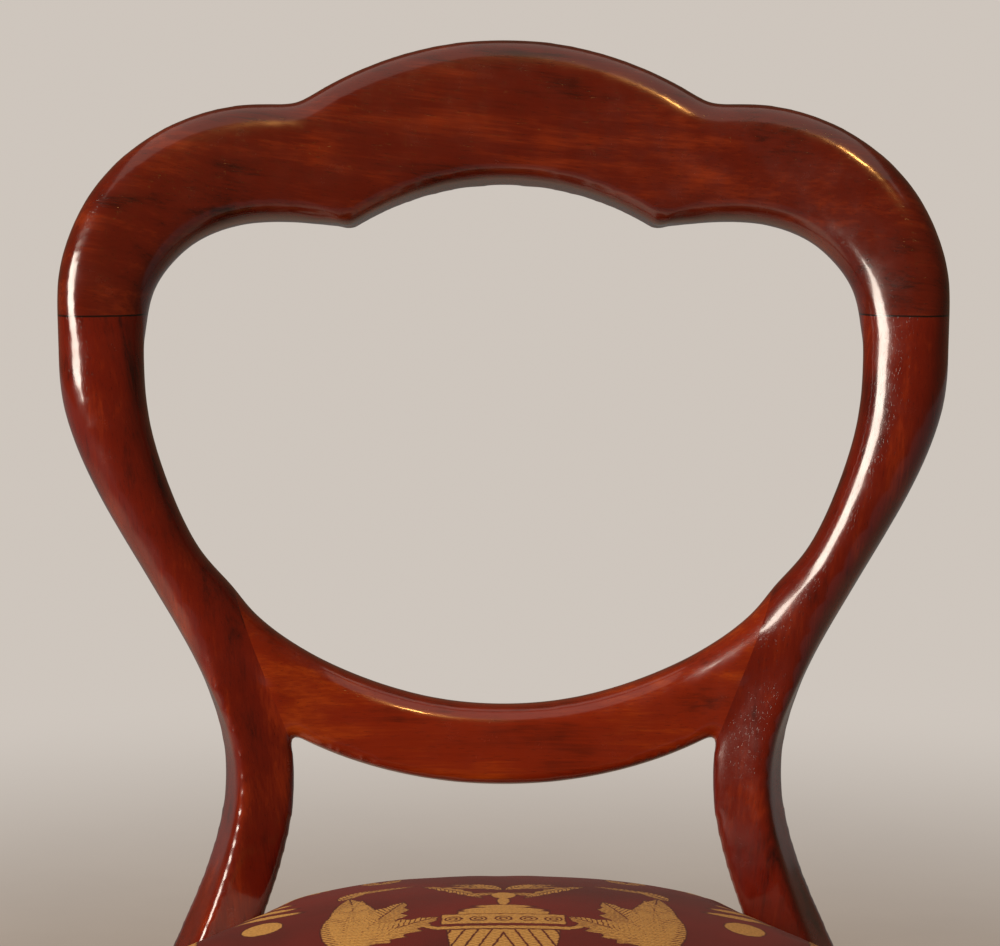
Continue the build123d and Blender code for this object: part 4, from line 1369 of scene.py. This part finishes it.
@dataclass
class ShowWood:
    """The polished back and the front legs.

    The back is one run of carving over its joints, so it is rounded as a whole and then parted at them.
    """

    back: tuple[str, ...] = ("crest_rail", "left_upright", "right_upright", "cross_rail")
    joint_height: float = 756.0  # where the crest meets the uprights
    splice_foot: tuple[float, float] = (110.27, 535.0)  # x and height of the right splice
    splice_top: tuple[float, float] = (139.35, 609.0)
    corner_slope: float = 0.8  # of the gap between upright and cross rail, below the splice
    voxel: float = 2.0
    rounds: int = 110
    regained: float = 2.0  # what the rounding takes off the wood
    plain_below: float = 545.0  # the uprights stay square up to here
    rail_drop: float = 35.0  # how much lower the cross rail is rounded
    round_rise: float = 70.0  # from the square part to the fully round one
    least_round: float = 0.2  # share of the rounding that the square part gets
    blend_reach: tuple[float, float] = (10.0, 48.0)  # round the top of each splice, where the carving runs on
    blend_rounds: int = 110
    arch_top: float = 822.0  # of the balloon opening, under the middle lobe
    cusp: tuple[float, float] = (81.5, 798.5)
    arch_reach: float = 13.0  # round the crisp lower edge of the arch
    arch_start: float = 2.0
    arch_round: float = 0.12
    arch_end: tuple[float, float] = (84.0, 104.0)  # from the middle, where the crisp edge dies out
    rail_blend: tuple[float, float] = (50.0, 10.0)  # from the middle, and beyond the splice's foot
    scrape_factor: float = 0.5
    cut_reach: float = 9.0  # round a joint, within which faces are cut
    cut_tolerance: float = 1e-7
    sharp_angle: float = 55.0

    def finishes(self) -> dict[str, bpy.types.Material]:
        """The finish of each carved piece, with its grain along its length.

        Returns:
            For each node, its material.
        """
        stile = {"grain": Grain.UP, "dark": "#300706", "middle": "#641405", "light": "#8c2c0a"}
        joint = {"joint_height": self.joint_height}
        crest = {"grain": Grain.ACROSS, "dark": "#240704", "middle": "#571406", "light": "#7d2a0c"}
        values = {
            "crest_rail": crest | {"slope": -7.0} | joint,
            "cross_rail": {"grain": Grain.ACROSS, "dark": "#430d03", "middle": "#7c2005", "light": "#a5400b"},
            "left_upright": stile | {"slope": 4.0} | joint,
            "right_upright": stile | {"slope": -4.0} | joint,
            "left_front_leg": stile,
            "right_front_leg": stile,
        }
        return {node: PolishedMahogany(f"mahogany_{node}", **value).make() for node, value in values.items()}

    def build(self) -> None:
        """Rounds the back, parts it at its joints and dresses every carved piece."""
        finishes = self.finishes()
        for node, material in finishes.items():
            dress(node, material)
        whole = self.joined()
        self.soften(whole)
        faces = self.parted(whole.data)
        for number, node in enumerate(self.back):
            mesh = whole.data.copy()
            without_faces(mesh, faces != number)
            self.close(mesh)
            piece = new_object(f"rounded_{node}", mesh, finishes[node])
            mesh.set_sharp_from_angle(angle=math.radians(self.sharp_angle))
            declared(piece, node)
        bpy.data.objects.remove(whole)

    def joined(self) -> bpy.types.Object:
        """Joins the four pieces of the back into one even mesh.

        Returns:
            The whole back, as a new object.
        """
        shape = bmesh.new()
        for node in self.back:
            shape.from_mesh(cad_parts[node].data)
        bmesh.ops.remove_doubles(shape, verts=shape.verts, dist=WELD * MM)
        mesh = bpy.data.meshes.new("back")
        shape.to_mesh(mesh)
        shape.free()
        whole = new_object("back", mesh)
        even = whole.modifiers.new("even_wood", "REMESH")
        even.mode = "VOXEL"
        even.voxel_size = self.voxel * MM
        settled(whole)
        return whole

    def soften(self, whole: bpy.types.Object) -> None:
        """Rounds the carving as the scraper leaves it, but for the arch's edge and the square uprights.

        Args:
            whole: The joined back.
        """
        points = points_of(whole.data)
        across = np.abs(points[:, 0])
        rail_start, rail_end = self.rail_blend
        beyond_rail = smooth_share(across, rail_start, self.splice_foot[0] + rail_end)
        plain = self.plain_below - self.rail_drop * (1 - beyond_rail)
        weights = smooth_share(points[:, 2], plain, plain + self.round_rise)
        away = points[:, 2] - self.arch_height(points[:, 0])
        above = smooth_share(away, self.arch_start, self.arch_reach)
        beside = np.maximum(above, smooth_share(across, *self.arch_end))
        crisp = self.arch_round + (1 - self.arch_round) * beside
        weights = np.where(points[:, 2] > self.joint_height, weights * crisp, weights)
        weights = np.maximum(weights, self.least_round)
        self.scrape(whole, weights, self.rounds)
        reach = np.hypot(across - self.splice_top[0], points[:, 2] - self.splice_top[1])
        self.scrape(whole, 1 - smooth_share(reach, *self.blend_reach), self.blend_rounds)
        normals = np.zeros(len(whole.data.vertices) * 3)
        whole.data.vertex_normals.foreach_get("vector", normals)
        regained = normals.reshape(-1, 3) * (weights * self.regained)[:, None]
        move_points(whole.data, points_of(whole.data) + regained)

    def scrape(self, whole: bpy.types.Object, weights: np.ndarray, rounds: int) -> None:
        """Smooths the wood.

        Args:
            whole: The joined back.
            weights: How much each point moves.
            rounds: The number of times.
        """
        group = whole.vertex_groups.new(name="scraped")
        for index in np.flatnonzero(weights > 0):
            group.add([int(index)], float(weights[index]), "REPLACE")
        scraper = whole.modifiers.new("scraper", "SMOOTH")
        scraper.factor = self.scrape_factor
        scraper.iterations = rounds
        scraper.vertex_group = group.name
        settled(whole)
        whole.vertex_groups.clear()

    def arch_height(self, x: np.ndarray) -> np.ndarray:
        """Height of the opening's edge under the middle lobe.

        Args:
            x: Places from left to right.

        Returns:
            The heights, in millimetres.
        """
        rise = self.arch_top - self.cusp[1]
        radius = (self.cusp[0] ** 2 + rise**2) / (2 * rise)
        return self.arch_top - radius + np.sqrt(radius**2 - np.minimum(np.abs(x), self.cusp[0]) ** 2)

    def parted(self, mesh: bpy.types.Mesh) -> np.ndarray:
        """Cuts a mesh's faces along the joints.

        Args:
            mesh: The whole back, which gets new edges there.

        Returns:
            For each face, the number of the piece of the back that it belongs to.
        """
        shape = bmesh.new()
        shape.from_mesh(mesh)
        (foot_x, foot_z), (top_x, top_z) = self.splice_foot, self.splice_top
        out = Vector((top_z - foot_z, 0, foot_x - top_x)).normalized()
        cuts = [(Vector((0, 0, self.joint_height)), Vector((0, 0, 1)), self.joint_height, self.joint_height)]
        for side in (-1, 1):
            place, normal = Vector((side * foot_x, 0, foot_z)), Vector((side * out.x, 0, out.z))
            cuts.append((place, normal, foot_z, top_z))
        for place, normal, lowest, highest in cuts:
            around = []
            for face in shape.faces:
                middle = face.calc_center_median() / MM
                near = abs((middle - place).dot(normal)) < self.cut_reach
                if near and lowest - self.cut_reach < middle.z < highest + self.cut_reach:
                    around.append(face)
            parts = {part for face in around for part in (face, *face.edges, *face.verts)}
            bmesh.ops.bisect_plane(
                shape,
                geom=list(parts),
                dist=self.cut_tolerance,
                plane_co=place * MM,
                plane_no=normal,
            )
        shape.to_mesh(mesh)
        shape.free()
        middles = np.zeros(len(mesh.polygons) * 3)
        mesh.polygons.foreach_get("center", middles)
        x, y, z = middles.reshape(-1, 3).T / MM
        within = (np.abs(x) - foot_x) * out.x + (z - foot_z) * out.z < 0
        corner = np.abs(x) < foot_x - self.corner_slope * (foot_z - z)
        rail = within & (z < top_z + self.cut_reach) & ((z > foot_z) | corner)
        return np.where(z > self.joint_height, 0, np.where(rail, 3, np.where(x < 0, 1, 2)))

    def close(self, mesh: bpy.types.Mesh) -> None:
        """Closes a piece's open ends flat.

        Args:
            mesh: The piece.
        """
        shape = bmesh.new()
        shape.from_mesh(mesh)
        edges = [edge for edge in shape.edges if edge.is_boundary]
        bmesh.ops.holes_fill(shape, edges=edges, sides=0)
        shape.to_mesh(mesh)
        shape.free()


@dataclass
class HiddenFrame:
    """Beech rails and blocks with their dowels and screws, the webbing and the tacks."""

    webbing_pitch: tuple[float, float] = (2.2, 1.5)  # of its threads, coarser than the real ones

    def build(self) -> None:
        """Dresses the nodes that the upholstery hides."""
        across = RawBeech("beech_across", Grain.ACROSS).make()
        backward = RawBeech("beech_backward", Grain.BACKWARD).make()
        upward = RawBeech("beech_upright", Grain.UP).make()
        screws = DrawnSteel("turned_steel", "#8d8b88", "#5a534c", 0.4).make()
        tacks = DrawnSteel("blued_steel", "#2c3038", "#4a3a30", 0.45).make()
        finishes = {
            "front_seat_rail": across,
            "back_seat_rail": across,
            "left_seat_rail": backward,
            "right_seat_rail": backward,
            "crest_dowels": upward,
            "cross_rail_dowels": across,
            "front_rail_dowels": across,
            "back_rail_dowels": across,
            "side_rail_dowels": backward,
            "corner_block_screws": screws,
            "webbing_tacks": tacks,
            "cover_tacks": tacks,
        }
        finishes |= {node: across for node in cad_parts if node.endswith("_corner_block")}
        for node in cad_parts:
            if node.startswith("webbing_") and node != "webbing_tacks":
                finishes[node] = PlainCloth(f"jute_{node}", "#7a6142", "#b99a6b", self.webbing_pitch).make()
        for node, material in finishes.items():
            dress(node, material)
        log.info("hidden frame: %d pieces", len(finishes))


# ---- studio ----
@dataclass(frozen=True)
class SoftBox:
    """A flat soft lamp: where its middle hangs, the point that it faces, its size and its light."""

    name: str
    place: Triple
    aim: Triple
    size: tuple[float, float]
    power: float  # in watts
    code: str


@dataclass
class Studio:
    """Pale floor, soft lights and the camera."""

    camera_place: Triple = (0.0, -1070.0, 840.0)
    camera_pitch: float = 7.6  # degrees below the level
    lens: float = 86.4
    sensor: float = 36.0
    shift: float = -0.0035
    floor_radius: float = 9000.0
    fade_radii: tuple[float, float] = (900.0, 2600.0)  # where the floor melts into the air
    air: str = "#d8cfc6"
    air_strength: float = 0.9
    room: str = "#a08468"
    room_strength: float = 0.25  # in reflections, where the room is dimmer than the air in view
    boxes: tuple[SoftBox, ...] = (
        SoftBox("window", (-1750, -1150, 1550), (0, 200, 700), (1100, 1000), 62, "#fff1e2"),
        SoftBox("lamp", (350, -900, 2300), (0, 150, 700), (120, 120), 5, "#ffb765"),
        SoftBox("ceiling", (0, 200, 2600), (0, 100, 0), (2400, 2400), 10, "#fff3e6"),
    )

    def build(self) -> None:
        """Makes the floor, the world, the lights and the camera."""
        bpy.context.scene.view_settings.view_transform = "Standard"
        self.floor()
        self.world()
        for box in self.boxes:
            self.light(box)
        data = bpy.data.cameras.new("camera")
        data.lens = self.lens
        data.sensor_width = self.sensor
        data.shift_x = self.shift
        camera = bpy.data.objects.new("camera", data)
        camera.location = Vector(self.camera_place) * MM
        camera.rotation_euler = Euler((math.radians(90 - self.camera_pitch), 0, 0))
        bpy.context.scene.collection.objects.link(camera)
        bpy.context.scene.camera = camera
        log.info("studio: floor, lights and camera")

    def floor(self) -> None:
        """A matt pale floor that melts into the air further out, so that no horizon shows."""
        mesh = bpy.data.meshes.new("floor")
        shape = bmesh.new()
        bmesh.ops.create_circle(shape, cap_ends=True, segments=96, radius=self.floor_radius * MM)
        shape.to_mesh(mesh)
        shape.free()
        material, tree, shader = new_material("matt_floor_paint")
        cloud = clouds(tree, stretched(tree, (300, 300, 300)), 4, 0.6)
        plug(tree, shader, Base_Color=ramp(tree, cloud, [(0.3, "#cdc4bb"), (0.7, "#dad2c9")]))
        shader.inputs["Roughness"].default_value = 0.9
        reach = add(tree, "VectorMath", {0: own_place(tree)}, operation="LENGTH").outputs["Value"]
        far = share_of(tree, reach, *self.fade_radii)
        seen = add(tree, "LightPath").outputs["Is Camera Ray"]
        strength = add(tree, "MapRange", {0: seen, 3: self.room_strength, 4: self.air_strength}).outputs[0]
        glow = add(tree, "Emission", {0: linear(self.air), 1: strength}).outputs[0]
        both = add(tree, "MixShader", {0: far, 1: shader.outputs[0], 2: glow}).outputs[0]
        tree.links.new(both, tree.nodes["Material Output"].inputs[0])
        new_object("floor", mesh, material)

    def world(self) -> None:
        """Pale air in view, and a dimmer room in the reflections."""
        world = bpy.data.worlds.new("studio_air")
        world.use_nodes = True
        bpy.context.scene.world = world
        tree = world.node_tree
        tree.nodes.clear()
        path = add(tree, "LightPath")
        dim = add(tree, "Background", {0: linear(self.room), 1: self.room_strength})
        seen = add(tree, "Background", {0: linear(self.air), 1: self.air_strength})
        in_view = path.outputs["Is Camera Ray"]
        both = add(tree, "MixShader", {0: in_view, 1: dim.outputs[0], 2: seen.outputs[0]})
        add(tree, "OutputWorld", {0: both.outputs[0]})

    def light(self, box: SoftBox) -> None:
        """Hangs one soft box.

        Args:
            box: The soft box.
        """
        data = bpy.data.lights.new(box.name, "AREA")
        data.shape = "RECTANGLE"
        data.size, data.size_y = box.size[0] * MM, box.size[1] * MM
        data.energy = box.power
        data.color = linear(box.code)[:3]
        lamp = bpy.data.objects.new(box.name, data)
        place, aim = Vector(box.place), Vector(box.aim)
        lamp.location = place * MM
        lamp.rotation_euler = (place - aim).to_track_quat("Z", "Y").to_euler()
        bpy.context.scene.collection.objects.link(lamp)


def main() -> None:
    """Builds every sub-assembly in order."""
    logging.basicConfig(level=logging.INFO, format="%(message)s")
    ShowWood().build()
    HiddenFrame().build()
    form = SeatForm()
    StuffedCover(form).build()
    Stuffing(form).build()
    Studio().build()


if __name__ == "__main__":
    main()
